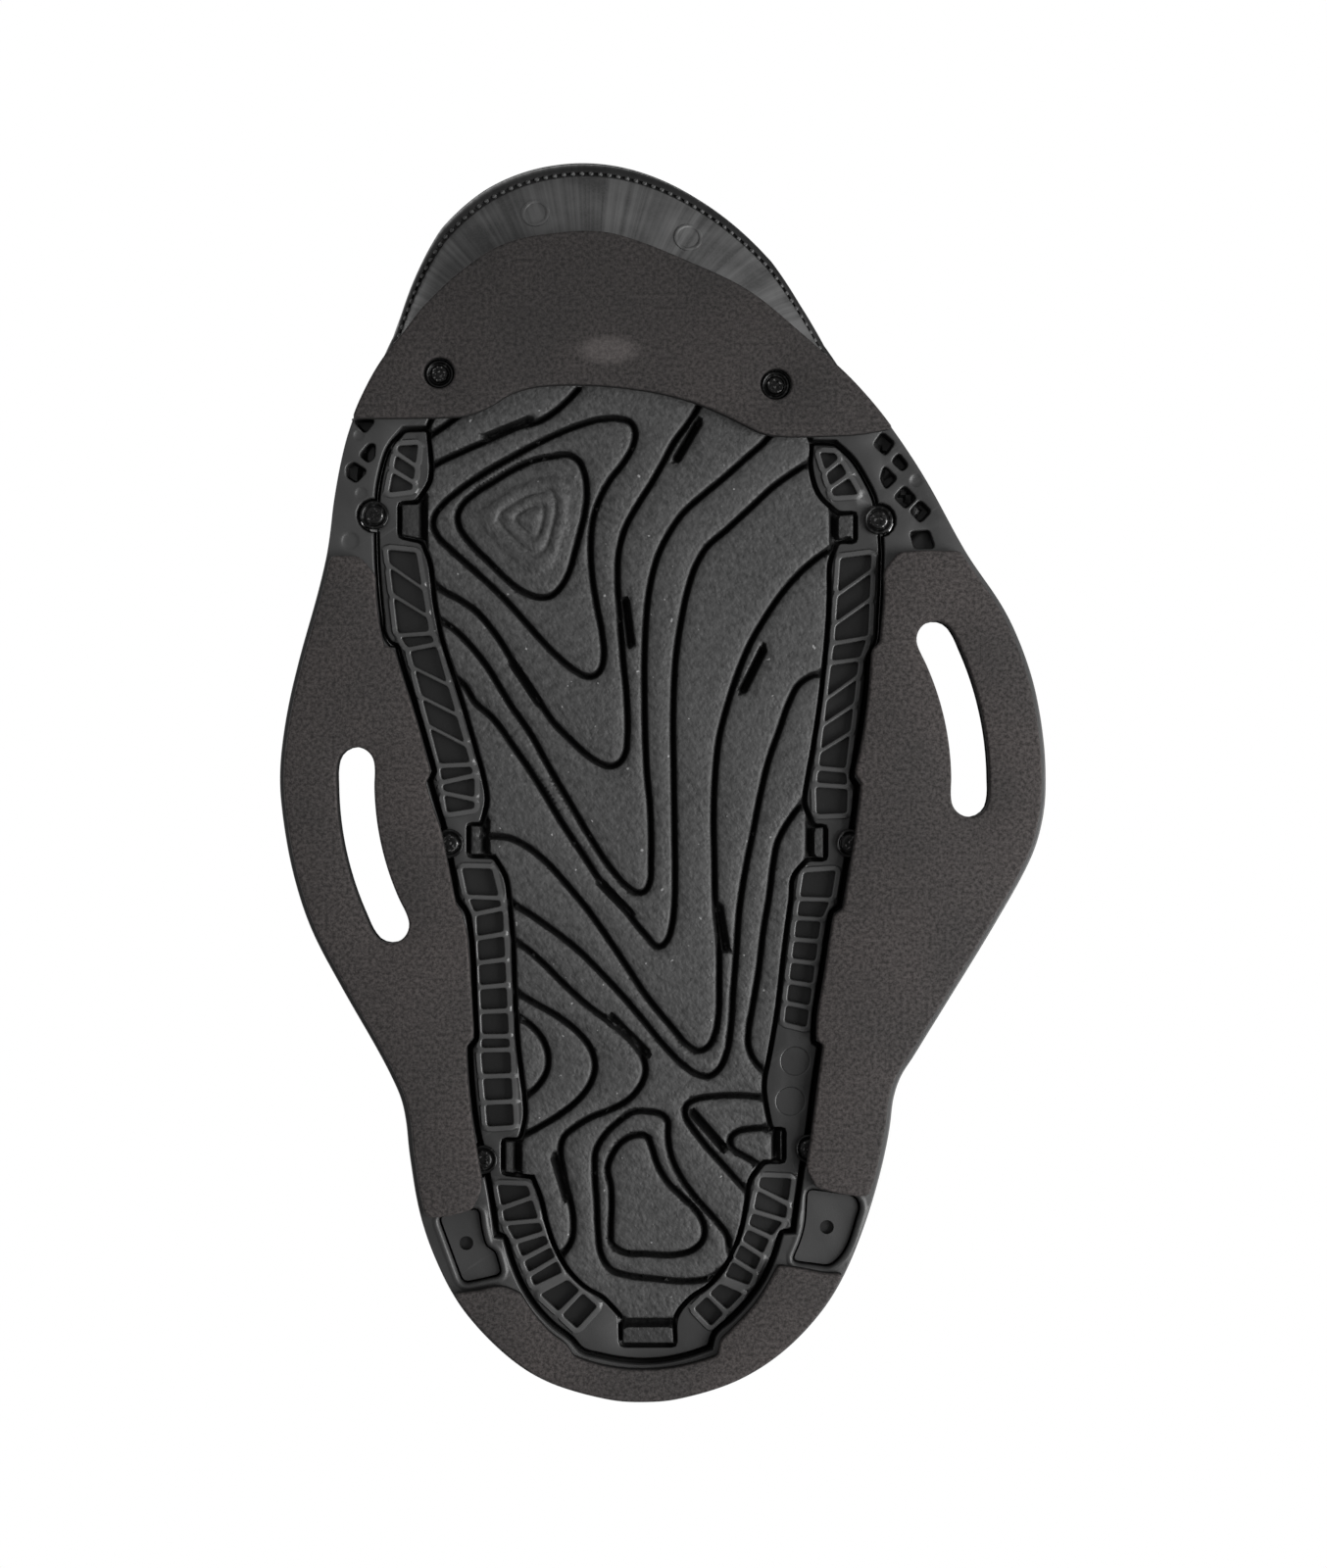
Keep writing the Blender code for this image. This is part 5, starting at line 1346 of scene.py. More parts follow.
def side_place(side, front, back, low, high):
    """place(s, t, d) of a sheet on one side of the boot, from front(z) to back(z)."""
    def place(s, t, d):
        z = low + (high - low) * t
        u = front(z) + (back - front(z)) * s
        return boot_offset(side * u, z, d)
    return place


def front_place(edge, low, high):
    """place(s, t, d) of a sheet across the boot's front, between -edge(z) and edge(z)."""
    def place(s, t, d):
        z = low + (high - low) * t
        return boot_offset(edge(z) * (2 * s - 1), z, d)
    return place


def back_place(front, low, high):
    """place(s, t, d) of a sheet round the boot's back, its top edge at high(s)."""
    def place(s, t, d):
        z = low + (high(s) - low) * t
        start = front(z)
        return boot_offset(wrap(start + (1 - 2 * start) * s), z, d)
    return place


def strap_place(strap, start, end, narrow=0.0):
    """place(s, t, d) of a length of a strap."""
    def place(s, t, d):
        width = (strap["half"] - narrow) * (2 * t - 1)
        return strap_point(strap, start + (end - start) * s, width, d)
    return place


def sheet_size(place):
    """Length and height of a sheet, measured along its middle lines."""
    run, half = np.linspace(0, 1, 40), np.full(40, 0.5)
    along = place(run, half, np.zeros(40))
    up = place(half, run, np.zeros(40))
    return tuple(float(np.linalg.norm(np.diff(p, axis=0), axis=1).sum()) for p in (along, up))


# ---------------------------------------------------------------- sole and cradle
def vamp_edge(z):
    """Where the vamp ends and the quarters start, as a position on the way round."""
    return table_value(VAMP_EDGE, z)


# Cupsole section: (height, distance outwards from the boot's surface), from the sole upwards
CUPSOLE_ROLL = [(8.8, 0.0), (9.1, 0.1), (9.6, 0.25), (10.4, 0.45), (11.5, 0.7), (12.8, 1.0),
                (14.2, 1.35), (15.4, 1.6), (16.1, 1.75)]
CUPSOLE_SEAM = [(16.25, 1.85), (16.75, 1.9), (16.95, 2.05), (17.0, 2.25), (16.9, 2.4), (16.6, 2.5)]
CUPSOLE_EDGE = [(16.5, 2.7), (16.65, 3.1), (17.1, 3.42), (18.0, 3.4), (19.2, 3.0), (19.5, 2.7),
                (19.7, 2.68), (19.9, 2.85), (20.6, 2.5), (21.4, 1.7), (21.9, 0.8), (22.0, 0.0),
                (22.0, -4.7), (21.8, -5.0), (18.6, -5.2)]
# By direction from the toe's middle, in degrees from the toe's tip: how far the edge stands out
TOE_MIDDLE = (-8.0, -100.0)
CUPSOLE_SWING = [(-100, 0), (-90, -0.8), (-78, -2.0), (-66, -0.6), (-52, 1.1), (-38, 1.1),
                 (-20, 0.3), (20, -0.5), (50, -0.5), (64, -1.5), (78, -2.3), (92, -1.0), (102, 0)]
CUPSOLE_STITCH_Z, CUPSOLE_STITCH_OUT = 16.7, 2.15
TOE_MARKS, TOE_MARK_RADIUS = ((-32.0, -143.0), (6.4, -136.8)), 3.2


def cupsole_swing(around):
    """How far the cupsole's edge stands out or in beside the toe, against the boot's surface."""
    point = boot_point(around, np.full(len(around), 16.0))
    turn = np.degrees(np.arctan2(point[:, 0] - TOE_MIDDLE[0], TOE_MIDDLE[1] - point[:, 1]))
    return np.interp(turn, *zip(*CUPSOLE_SWING))


def make_cupsole():
    """Rubber cupsole: rolled toe, sunk and stitched line round it, rounded edge, tray and marks."""
    count = 360
    around = wrap(np.arange(count) / count)
    shape = Shape()
    swing = cupsole_swing(around)
    rows = [boot_offset(around, z, d + swing * min(1, max(0, d / 2.4)), level=True)
            for z, d in CUPSOLE_ROLL + CUPSOLE_SEAM + CUPSOLE_EDGE]
    shape.grid(rows, closed=True)
    for ring in (rows[0], rows[-1]):
        shape.cap([[(x, y) for x, y, _ in ring]], lambda flat, z=ring[0][2]: np.full(len(flat), z))
    piece = shape.finish("cupsole_shell", CUPSOLE_RUBBER, 50)
    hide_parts("cupsole")

    run = wrap(np.linspace(-0.5, 0.5, 700))
    line = boot_offset(run, np.full(700, CUPSOLE_STITCH_Z),
                       CUPSOLE_STITCH_OUT + 0.9 * cupsole_swing(run), level=True)
    down = line * 0 + (0, 0, -1)
    thread("cupsole_stitching", SOLE_THREAD, [(line, down)], pitch=2.3, share=0.55, width=1.05,
           sink=-0.2)
    for k, at in enumerate(TOE_MARKS, start=1):
        ring_mark(f"toe_mark_{k}", CUPSOLE_RUBBER, at, TOE_MARK_RADIUS, piece)


def ring_mark(name, finish, at, radius, under):
    """A low moulded ring on the underside of a piece."""
    bpy.context.view_layer.update()

    def height(x, y):
        where = under.ray_cast(Vector((x, y, -10)) * MM, Vector((0, 0, 1)))[1]
        return where.z / MM
    shape = Shape()
    rows = []
    for r, lift in ((radius + 0.5, 0.3), (radius + 0.3, -0.3), (radius - 0.1, -0.42),
                    (radius - 0.45, -0.2), (radius - 0.7, 0.3)):
        rows.append([(x, y, height(x, y) + lift) for x, y in circle(at, r, 40)])
    made = shape.grid(rows, closed=True)
    shape.strip(made[-1], made[0])
    shape.finish(name, finish, 60)


def cradle_top(s):
    """Height of the chassis's cradle wall: low at the front ends, highest behind the heel."""
    ramp = np.minimum(1.0, 10 * np.minimum(s, 1 - s))
    return 9.2 + 8.0 * np.sin(np.pi / 2 * ramp) + 19.0 * np.sin(np.pi * s) ** 2


def make_cradle():
    """The chassis's wall round the heel: a rolled top edge, a flared foot and stiffening ribs."""
    foot = CHASSIS_TOP - 0.6
    inner, outer = CRADLE_LAYER
    columns = 420
    s = np.linspace(0, 1, columns)
    top = cradle_top(s)
    u = wrap(CRADLE_FROM + (1 - 2 * CRADLE_FROM) * s)
    phase = np.abs((s * CRADLE_RIBS + 0.5) % 1.0 - 0.5) * 2
    rib = np.clip((0.24 - phase) / 0.10, 0, 1)
    ends = np.clip(np.minimum(s, 1 - s) * 70, 0, 1)
    back = np.sin(np.pi * s) ** 4
    outer = outer - 1.1 * back

    def row(height, distance):
        held = distance * ends + (1 - ends) * (inner + 0.6)
        points = boot_offset(u, np.maximum(height, 18), held, level=True)
        points[:, 2] = height
        return points

    rows = []
    for share in np.concatenate([[0, 0.05, 0.1, 0.16, 0.24, 0.34], np.linspace(0.45, 0.86, 6)]):
        height = foot + (top - foot) * share
        flare = 1.2 * np.clip(1 - (height - foot) / 3.2, 0, 1) ** 2 * (1 - back)
        web = -0.9 + 0.9 * rib
        rows.append(row(height, outer + flare + web * np.clip((1 - share) * 6, 0, 1)))
    for drop, distance in ((1.9, outer + 0.25), (1.4, outer + 0.55), (0.8, outer + 0.6),
                           (0.3, outer + 0.35), (0.05, outer - 0.2), (0.0, outer - 1.0),
                           (0.0, inner + 1.0), (0.15, inner + 0.35), (0.7, inner), (4.0, inner)):
        rows.append(row(np.maximum(top - drop, foot), np.zeros(columns) + distance))
    rows.append(row(np.full(columns, foot), np.full(columns, inner)))
    shape = Shape()
    made = shape.grid(rows)
    shape.strip(made[-1], made[0], closed=False)
    for k in (0, -1):
        shape.fan([line[k] for line in made])
    piece = shape.finish("chassis_cradle", CHASSIS_NYLON, 45)
    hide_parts("chassis")


# ---------------------------------------------------------------- upper
def swell(value, low, high, soft):
    """1 between two limits, falling softly to 0 outside them."""
    return np.clip(np.minimum(value - low, high - value) / soft + 1, 0, 1)


def make_vamp():
    """Rubberised toe cap and the vamp behind it, with a raised fender and stitched edges."""
    cap = front_place(lambda z: vamp_edge(z) - SEAM_GAP, UPPER_LOW, TOE_CAP_TOP)

    def bumper(s, t):
        edge = 0.34 + 0.16 * np.abs(2 * s - 1) ** 2
        return 1.3 * np.clip((edge - t) / 0.06 + 1, 0, 1) - 0.5 * ridge(t - edge + 0.1, 0.02)
    piece = panel("toe_cap_shell", TOE_LEATHER, cap, LEATHER_LAYER, relief=bumper,
                  seams=(SEAM_INSET,))
    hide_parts("toe_cap")
    thread("toe_cap_stitching", THREAD, seam_line(cap, LEATHER_LAYER[1], "t"))

    place = front_place(lambda z: vamp_edge(z) - SEAM_GAP, TOE_CAP_TOP + 0.6, THROAT_START)

    def wings(s, t):
        side = np.abs(2 * s - 1)
        return 0.9 * np.clip((side - 0.62 + 0.25 * t) / 0.03, 0, 1)
    piece = panel("vamp_shell", VAMP_CLOTH, place, LEATHER_LAYER, relief=wings,
                  seams=(SEAM_INSET,), spacing=1.8)
    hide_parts("vamp")
    thread("vamp_stitching", THREAD, seam_line(place, LEATHER_LAYER[1], "bt"))


def quarter_relief(place):
    """Raised moulded bands that run from the sole up towards the straps, with a softer swell."""
    length, height = sheet_size(place)

    def relief(s, t):
        x, y = s * length, t * height
        lift = np.zeros_like(x)
        for start in (18.0, 34.0, 50.0):
            line = start + 0.28 * y + 0.0022 * y**2
            lift = np.maximum(lift, 1.0 * swell(x, line - 2.6, line + 2.6, 1.2)
                              * swell(y, 4, height * 0.7, 6))
        return lift + 0.5 * np.sin(np.pi * t) * np.sin(np.pi * s)
    return relief


def cuff_relief(place):
    """Quilted padding: crowned bands between sunk channels that run round the leg."""
    height = sheet_size(place)[1]

    def relief(s, t):
        y = t * height
        channel = np.zeros_like(y)
        for line in (0.13, 0.30, 0.80):
            at = height * line + 6 * (s - 0.5) ** 2
            channel = np.maximum(channel, np.exp(-((y - at) / 1.5) ** 2))
        return 0.9 - 1.7 * channel - 0.8 * ridge(s, 0.03)
    return relief


def make_quarters():
    """Both quarters and both cuffs, stitched round, the quarters with raised bands."""
    for label, side in (("outer", 1), ("inner", -1)):
        place = side_place(side, lambda z: vamp_edge(z) + SEAM_GAP, QUARTER_END, UPPER_LOW,
                           CUFF_LOW)
        piece = panel(f"{label}_quarter_shell", LEATHER, place, LEATHER_LAYER,
                      relief=quarter_relief(place), seams=(SEAM_INSET,), spacing=1.7)
        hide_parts(f"{label}_quarter")
        thread(f"{label}_quarter_stitching", THREAD, seam_line(place, LEATHER_LAYER[1], "tl"))
        place = side_place(side, lambda z: vamp_edge(z) + SEAM_GAP, QUARTER_END, CUFF_LOW + 0.6,
                           CUFF_TOP)
        piece = panel(f"{label}_cuff_shell", CUFF_CLOTH, place, LEATHER_LAYER,
                      relief=cuff_relief(place), seams=(SEAM_INSET,), spacing=1.7)
        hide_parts(f"{label}_cuff")
        thread(f"{label}_cuff_stitching", THREAD, seam_line(place, LEATHER_LAYER[1], "tbl"))


def make_counter():
    """Moulded heel counter: a raised border, a sunk window field and horizontal ribs."""
    place = back_place(lambda z: 0.335 + 0.0006 * np.maximum(0, z - 30), 38.5,
                       lambda s: 88 + 14 * np.sin(np.pi * s) ** 2)
    length, height = sheet_size(place)

    def relief(s, t):
        away = np.minimum(np.minimum(s, 1 - s) * length, np.minimum(t, 1 - t) * height)
        field = np.clip((away - 4.5) / 1.2, 0, 1)
        ribs = np.abs((t * 6) % 1.0 - 0.5) * 2
        rib = np.clip((0.55 - ribs) / 0.25, 0, 1)
        spine = np.clip((3.5 - np.abs(s - 0.5) * length) / 1.2, 0, 1)
        return 0.9 - field * (1.5 - 1.2 * np.maximum(rib, spine))
    piece = panel("heel_counter_shell", COUNTER_PLASTIC, place, COUNTER_LAYER, relief=relief,
                  spacing=1.5)
    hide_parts("heel_counter")


def make_linings():
    """Knit linings, quilted by shallow lines, the instep gusset and the tongue's gusset."""
    def quilt(s, t):
        lines = np.abs(np.sin(np.pi * 6 * (t + 0.12 * np.sin(2 * np.pi * s))))
        return 0.4 - 1.0 * np.clip(1 - lines / 0.22, 0, 1) ** 2

    def lining_edge(way):
        return lambda z: np.maximum(vamp_edge(z), LINING_THROAT) + way * LINING_GAP
    places = [("vamp_lining", front_place(lining_edge(-1), 27.0, 82.0))]
    for label, side in (("outer", 1), ("inner", -1)):
        for part, low, high in (("quarter", 27.0, 128.0), ("cuff", 128.6, 228.5)):
            places.append((f"{label}_{part}_lining",
                           side_place(side, lining_edge(1), LINING_END, low, high)))
    inward = (-LINING_LAYER[1], -LINING_LAYER[0])
    for name, place in places:
        def turned(s, t, d, place=place):
            return place(s, t, -d)
        piece = panel(name + "_knit", LINING_KNIT, turned, inward, relief=quilt, spacing=2.6)
        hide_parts(name)
    place = front_place(fixed(THROAT - 0.006), THROAT_START + 0.8, TONGUE_HINGE - 1.4)

    def folds(s, t):
        return 0.5 * np.sin(np.pi * 8 * t)
    piece = panel("instep_gusset_cloth", GUSSET_CLOTH, place, (-4.1, -1.4), relief=folds,
                  spacing=1.2)
    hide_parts("instep_gusset")
    place = front_place(fixed(0.108), 100.0, 245.0)
    panel("tongue_gusset", GUSSET_CLOTH, place, (-9.6, -8.5), spacing=3.0)


def make_footbed():
    """Footbed with a rounded edge and a slightly uneven top, and the board under it."""
    rim = boot_offset(wrap(np.arange(160) / 160), np.full(160, SOLE_TOP), np.full(160, -10.2),
                      level=True)
    loop = [(x, y) for x, y, _ in rim]
    grid = within(lattice((-60, -146), (50, 142), 4.0), [shift(loop, 3.0)])
    top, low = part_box("footbed")[1].z / MM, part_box("footbed")[0].z / MM

    def surface(flat):
        x, y = flat[:, 0], flat[:, 1]
        return top - 0.35 + 0.25 * np.sin(x / 9.0) * np.sin(y / 11.0)
    shape = Shape()
    rows = []
    for offset, z in ((0.0, low), (0.0, top - 1.8), (0.25, top - 1.0), (0.8, top - 0.5)):
        rows.append([(x, y, z) for x, y in shift(loop, offset)] if offset else
                    [(x, y, z) for x, y in loop])
    edge = shift(loop, 1.5)
    rows.append([(x, y, z) for (x, y), z in zip(edge, surface(np.array(edge)))])
    shape.grid(rows, closed=True)
    shape.cap([edge], surface, grid)
    shape.cap([loop], lambda flat: np.full(len(flat), low))
    piece = shape.finish("footbed_cloth", LINING_KNIT, 50)
    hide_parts("footbed")
    dress(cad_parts["lasting_board"], BOARD_FIBRE)


CLOTH_FRAMES = 20


def inflate(made, node, finish, voxel, reach, pressure):
    """Turn a plain sheet into a padded piece: remeshed in voxels (metres), then inflated by a short
    cloth simulation, in which no point may move further than `reach` (mm)."""
    step = made.modifiers.new("voxels", "REMESH")
    step.mode = "VOXEL"
    step.voxel_size = voxel
    apply_modifiers(made)
    rest = [v.co.copy() for v in made.data.vertices]
    cloth = made.modifiers.new("inflate", "CLOTH")
    cloth.settings.use_pressure = True
    cloth.settings.uniform_pressure_force = pressure
    cloth.settings.effector_weights.gravity = 0
    cloth.settings.quality = 6
    cloth.point_cache.frame_start = 1
    cloth.point_cache.frame_end = CLOTH_FRAMES
    for at in range(1, CLOTH_FRAMES + 1):
        bpy.context.scene.frame_set(at)
    apply_modifiers(made)
    bpy.context.scene.frame_set(1)
    for vertex, before in zip(made.data.vertices, rest):
        move = vertex.co - before
        if move.length > reach * MM:
            vertex.co = before + move.normalized() * reach * MM
    smooth = made.modifiers.new("smooth", "SMOOTH")
    smooth.iterations = 4
    fine = made.modifiers.new("fine", "SUBSURF")
    fine.levels = 1
    fine.render_levels = 1
    apply_modifiers(made)
    made.data.shade_smooth()
    dress(made, finish)
    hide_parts(node)


def apply_modifiers(piece):
    """Replace a piece's mesh by its evaluated one."""
    graph = bpy.context.evaluated_depsgraph_get()
    mesh = bpy.data.meshes.new_from_object(piece.evaluated_get(graph))
    piece.modifiers.clear()
    piece.data = mesh


def sew(piece, line_height, depth, width):
    """Press sewn channels into a padded piece: line_height(point) is the distance to one, in mm."""
    normals = [v.normal.copy() for v in piece.data.vertices]
    for vertex, normal in zip(piece.data.vertices, normals):
        away = line_height(vertex.co / MM)
        vertex.co -= normal * depth * MM * math.exp(-(away / width) ** 2)


TONGUE_CHANNELS = (136.0, 152.0, 168.0, 184.0, 200.0, 219.0)
COLLAR_CHANNEL = 234.6


def fixed(value):
    """An edge that stays at one value at every height."""
    return lambda z: value + 0 * z


def make_pads_above():
    """The padded collar and tongue, with their sewn channels, and the tongue's tab."""
    place = back_place(fixed(0.0835), CUFF_TOP + 0.6, lambda s: COLLAR_TOP - 1.0)
    collar = panel("padded_collar", LINING_KNIT, place, (-8.4, 0.6), spacing=4.0)
    inflate(collar, "collar", LINING_KNIT, 0.0032, 2.0, 4.0)
    sew(collar, lambda p: p.z - COLLAR_CHANNEL, 0.9, 0.8)
    binding = back_place(fixed(0.0815), 222.0, fixed(237.0))
    panel("collar_binding", GUSSET_CLOTH, binding, (-4.6, -3.5), spacing=4.0, radius=0.3)

    place = front_place(fixed(0.0735), TONGUE_HINGE + 1.2, TONGUE_TOP - 1.2)
    tongue = panel("padded_tongue", TONGUE_CLOTH, place, (-7.2, -1.6), spacing=4.0, body="tongue")
    inflate(tongue, "tongue", TONGUE_CLOTH, 0.003, 2.0, 4.0)

    def channel(p):
        return min(abs(p.z - at) for at in TONGUE_CHANNELS)
    sew(tongue, channel, 1.5, 1.4)
    place = front_place(fixed(0.026), 226.0, 244.0)
    piece = panel("tongue_tab_loop", WEBBING, place, FLAT_LAYER, spacing=1.5, radius=0.5,
                  seams=(SEAM_INSET,), body="tongue")
    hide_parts("tongue_tab")
    thread("tongue_tab_stitching", THREAD, seam_line(place, FLAT_LAYER[1]), body="tongue")


def strap_relief(place, ridges):
    """A padded middle field between flat stitched margins, with cross ridges near the free end."""
    length, height = sheet_size(place)

    def relief(s, t):
        y = t * height
        field = np.clip(np.minimum(y - 6.0, height - 6.0 - y) / 1.0, 0, 1)
        lift = 0.55 * field
        for k in range(ridges):
            at = 1 - (9 + 4.2 * k) / length
            lift = lift + 0.7 * field * ridge((s - at) * length, 1.1)
        return lift
    return relief


GRIP_PITCH = 2.6         # between the bars on a strap's tip


def make_straps():
    """The two straps: sewn base, webbing strap with a moulded tip, and the pile patch."""
    for label, strap in (("lower", LOWER_STRAP), ("upper", UPPER_STRAP)):
        root, end = strap["root"], strap["end"]
        body = f"{label}_strap"
        place = strap_place(strap, root - strap["base"], root - 0.007)
        piece = panel(f"{label}_strap_anchor", LEATHER, place, STRAP_BASE_LAYER, spacing=1.6,
                      seams=(SEAM_INSET,))
        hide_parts(f"{label}_strap_base")
        thread(f"{label}_anchor_stitching", THREAD,
               seam_line(place, STRAP_BASE_LAYER[1]) + box_cross(place, STRAP_BASE_LAYER[1]))
        place = strap_place(strap, root, end)
        piece = panel(f"{label}_strap_webbing", WEBBING, place, STRAP_LAYER, spacing=1.8,
                      radius=0.9, seams=(SEAM_INSET,), relief=strap_relief(place, 5), body=body)
        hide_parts(f"{label}_strap")
        thread(f"{label}_strap_stitching", THREAD, seam_line(place, STRAP_LAYER[1]), body=body)
        place = strap_place(strap, end + 0.0015, end + 0.02, 2.0)

        def grips(s, t, length=sheet_size(place)[0]):
            bars = np.clip(np.sin(2 * np.pi * s * length / GRIP_PITCH), 0, 1)
            return 0.6 * bars * swell(t, 0.15, 0.85, 0.08)
        piece = panel(f"{label}_strap_pull", COUNTER_PLASTIC, place, STRAP_TIP_LAYER,
                      spacing=0.7, relief=grips, body=body)
        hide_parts(f"{label}_strap_tip")
        place = strap_place(strap, end - 0.085, end + 0.012, 3.0)
        piece = panel(f"{label}_landing_pile", PILE, place, PATCH_LAYER, spacing=1.8, radius=0.5)
        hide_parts(f"{label}_strap_patch")


def box_cross(place, distance):
    """The two diagonals of a box stitch."""
    length, height = sheet_size(place)
    count, inset = 30, 4.0
    lines = []
    a, b = inset / length, inset / height
    run = np.linspace(0, 1, count)
    for flip in (False, True):
        s = a + (1 - 2 * a) * run
        t = b + (1 - 2 * b) * (run[::-1] if flip else run)
        points = place(s, t, np.full(count, distance))
        lines.append((points, place(s, t, np.full(count, distance + 1.0)) - points))
    return lines


def make_pull_loop():
    """A folded webbing loop across the back seam, its ends sewn flat to the cuff."""
    middle, width, thick = 214.0, 22.0, 1.9
    back = float(table_value(BACK, middle)) + 0.6
    route = [(back + 1.6, 199.2), (back + 4.6, 199.6)]
    route += [(back + 4.3 + 7.6 * math.sin(math.radians(a)),
               middle - 14.2 * math.cos(math.radians(a))) for a in range(25, 156, 13)]
    route += [(back + 4.6, 228.6), (back + 1.9, 229.0)]
    line = np.array(curve(route, 0.9))
    along = np.gradient(line, axis=0)
    along /= np.linalg.norm(along, axis=1)[:, None]
    out = np.stack([along[:, 1], -along[:, 0]], axis=1)
    shape = Shape()
    half = width / 2
    ring = [(-half, -0.2), (-half + 0.15, -0.8), (-half + 0.8, -0.95), (half - 0.8, -0.95),
            (half - 0.15, -0.8), (half, -0.2), (half, 0.2), (half - 0.15, 0.8), (half - 0.8, 0.95)]
    ring += [(x, 0.95 + 0.12 * (1 if k % 2 else -1)) for k, x in
             enumerate(np.arange(half - 2.2, -half + 1.5, -1.3))]
    ring += [(-half + 0.8, 0.95), (-half + 0.15, 0.8), (-half, 0.2)]
    rows = []
    for (y, z), (ny, nz) in zip(line, out):
        rows.append([(BACK_SEAM_X + x, y + ny * d * thick / 2, z + nz * d * thick / 2)
                     for x, d in ring])
    made = shape.grid(rows, closed=True)
    shape.fan(made[0][::-1])
    shape.fan(made[-1])
    piece = shape.finish("heel_pull_loop", WEBBING, 50)
    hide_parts("pull_loop")


def make_back_seam():
    """A binding strip over the back seam, from the heel counter to the collar."""
    low, high, half = 104.0, 227.0, 0.024

    def place(s, t, d):
        return boot_offset(wrap(0.5 + half * (2 * s - 1)), low + (high - low) * t, d)
    panel("back_seam_strip", LEATHER, place, FLAT_LAYER, spacing=1.6, radius=0.7,
          seams=(SEAM_INSET,))
    thread("back_seam_stitching", THREAD, seam_line(place, FLAT_LAYER[1], "lr"))


# ---------------------------------------------------------------- stage
CAMERA_AT = Vector((0.00017, 0.00049, -0.75))
FIELD_LONG_SIDE = 0.3882   # metres of the pads' plane along the picture's long side
SENSOR = 36.0
FLOOR_SIZE, FLOOR_Z = 6.0, -0.0005
FILL_STRENGTH = 0.24       # of the white world as a light; the camera sees it at 1
# Name, place and aim (metres), size of the square (metres), power (watts)
LIGHTS = (
    ("key_below", (0.8, 0.2, -0.6), (0, 0, 0), 0.7, 21),
    ("fill_below", (-0.6, -0.5, -0.8), (0, 0, 0), 1.6, 4),
    ("key_above", (-0.7, -0.8, 1.1), (0, 0, 0.1), 1.8, 18),
    ("fill_above", (0.9, 0.6, 0.8), (0, 0, 0.1), 1.6, 9),
    ("inner_side", (-1.1, 0.25, 0.45), (0, 0, 0.12), 1.2, 9),
)


def make_camera():
    """Camera straight below the sole, the toe up in the picture."""
    camera = bpy.data.objects.new("camera", bpy.data.cameras.new("camera"))
    bpy.context.scene.collection.objects.link(camera)
    camera.data.sensor_width = SENSOR
    camera.data.lens = SENSOR * -CAMERA_AT.z / FIELD_LONG_SIDE
    camera.location = CAMERA_AT
    camera.rotation_euler = (math.pi, 0, 0)
    bpy.context.scene.camera = camera


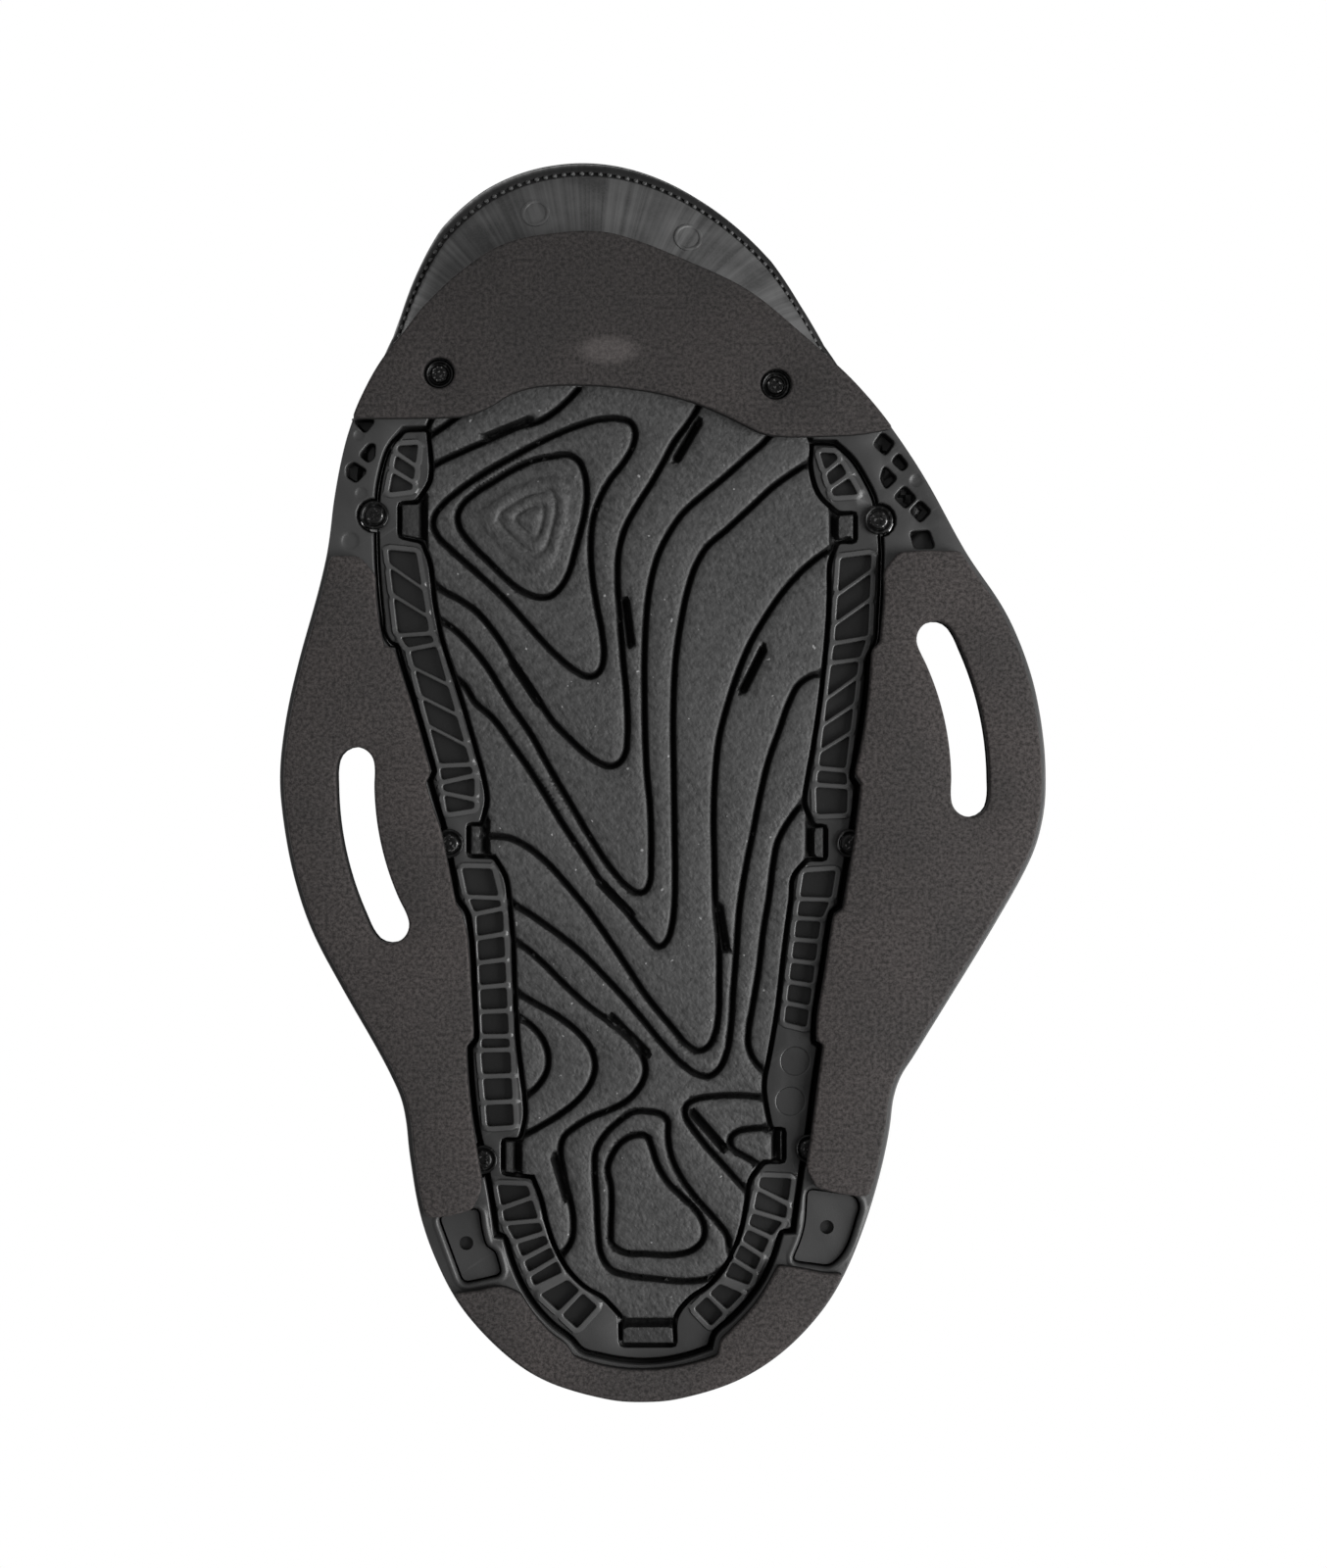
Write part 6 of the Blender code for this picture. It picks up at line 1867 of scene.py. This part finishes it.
def make_floor():
    """A pale floor under the pads that is only there from above."""
    mesh = bpy.data.meshes.new("floor")
    half, z = FLOOR_SIZE / 2, FLOOR_Z
    mesh.from_pydata([(-half, -half, z), (half, -half, z), (half, half, z), (-half, half, z)],
                     [], [(0, 1, 2, 3)])
    floor = bpy.data.objects.new("floor", mesh)
    bpy.context.scene.collection.objects.link(floor)
    made = bpy.data.materials.new("pale_floor")
    made.use_nodes = True
    tree = made.node_tree
    shader = tree.nodes["Principled BSDF"]
    shader.inputs["Base Color"].default_value = (0.8, 0.8, 0.8, 1)
    shader.inputs["Roughness"].default_value = 0.9
    shader.inputs["Emission Color"].default_value = (1, 1, 1, 1)
    shader.inputs["Emission Strength"].default_value = 0.6
    clear = tree.nodes.new("ShaderNodeBsdfTransparent")
    mixed = tree.nodes.new("ShaderNodeMixShader")
    side = tree.nodes.new("ShaderNodeNewGeometry")
    tree.links.new(side.outputs["Backfacing"], mixed.inputs[0])
    tree.links.new(shader.outputs[0], mixed.inputs[1])
    tree.links.new(clear.outputs[0], mixed.inputs[2])
    tree.links.new(mixed.outputs[0], tree.nodes["Material Output"].inputs["Surface"])
    mesh.materials.append(made)
    floor.visible_diffuse = False
    floor.visible_glossy = False
    floor.visible_transmission = False
    floor.visible_shadow = False


def add_light(name, at, aim, size, power):
    """A square soft light aimed at a point."""
    light = bpy.data.objects.new(name, bpy.data.lights.new(name, "AREA"))
    bpy.context.scene.collection.objects.link(light)
    light.data.size = size
    light.data.energy = power
    light.location = at
    light.rotation_euler = (Vector(aim) - Vector(at)).to_track_quat("-Z", "Y").to_euler()


def make_studio():
    """White backdrop, dimmer as a light than it looks, and soft lights below and above."""
    world = bpy.data.worlds.new("studio")
    bpy.context.scene.world = world
    world.use_nodes = True
    tree = world.node_tree
    fill = tree.nodes["Background"]
    fill.inputs["Color"].default_value = (1, 1, 1, 1)
    fill.inputs["Strength"].default_value = FILL_STRENGTH
    white = tree.nodes.new("ShaderNodeBackground")
    white.inputs["Strength"].default_value = 1.0
    white.inputs["Color"].default_value = (1, 1, 1, 1)
    seen = tree.nodes.new("ShaderNodeLightPath")
    mixed = tree.nodes.new("ShaderNodeMixShader")
    tree.links.new(seen.outputs["Is Camera Ray"], mixed.inputs[0])
    tree.links.new(fill.outputs[0], mixed.inputs[1])
    tree.links.new(white.outputs[0], mixed.inputs[2])
    tree.links.new(mixed.outputs[0], tree.nodes["World Output"].inputs["Surface"])
    bpy.context.scene.view_settings.view_transform = "Standard"
    for light in LIGHTS:
        add_light(*light)


make_chassis_plate()
make_pads()
make_sole_frame()
make_tread()
make_fasteners()
make_cupsole()
make_cradle()
make_vamp()
make_quarters()
make_back_seam()
make_counter()
make_linings()
make_footbed()
make_pads_above()
make_straps()
make_pull_loop()
make_camera()
make_floor()
make_studio()
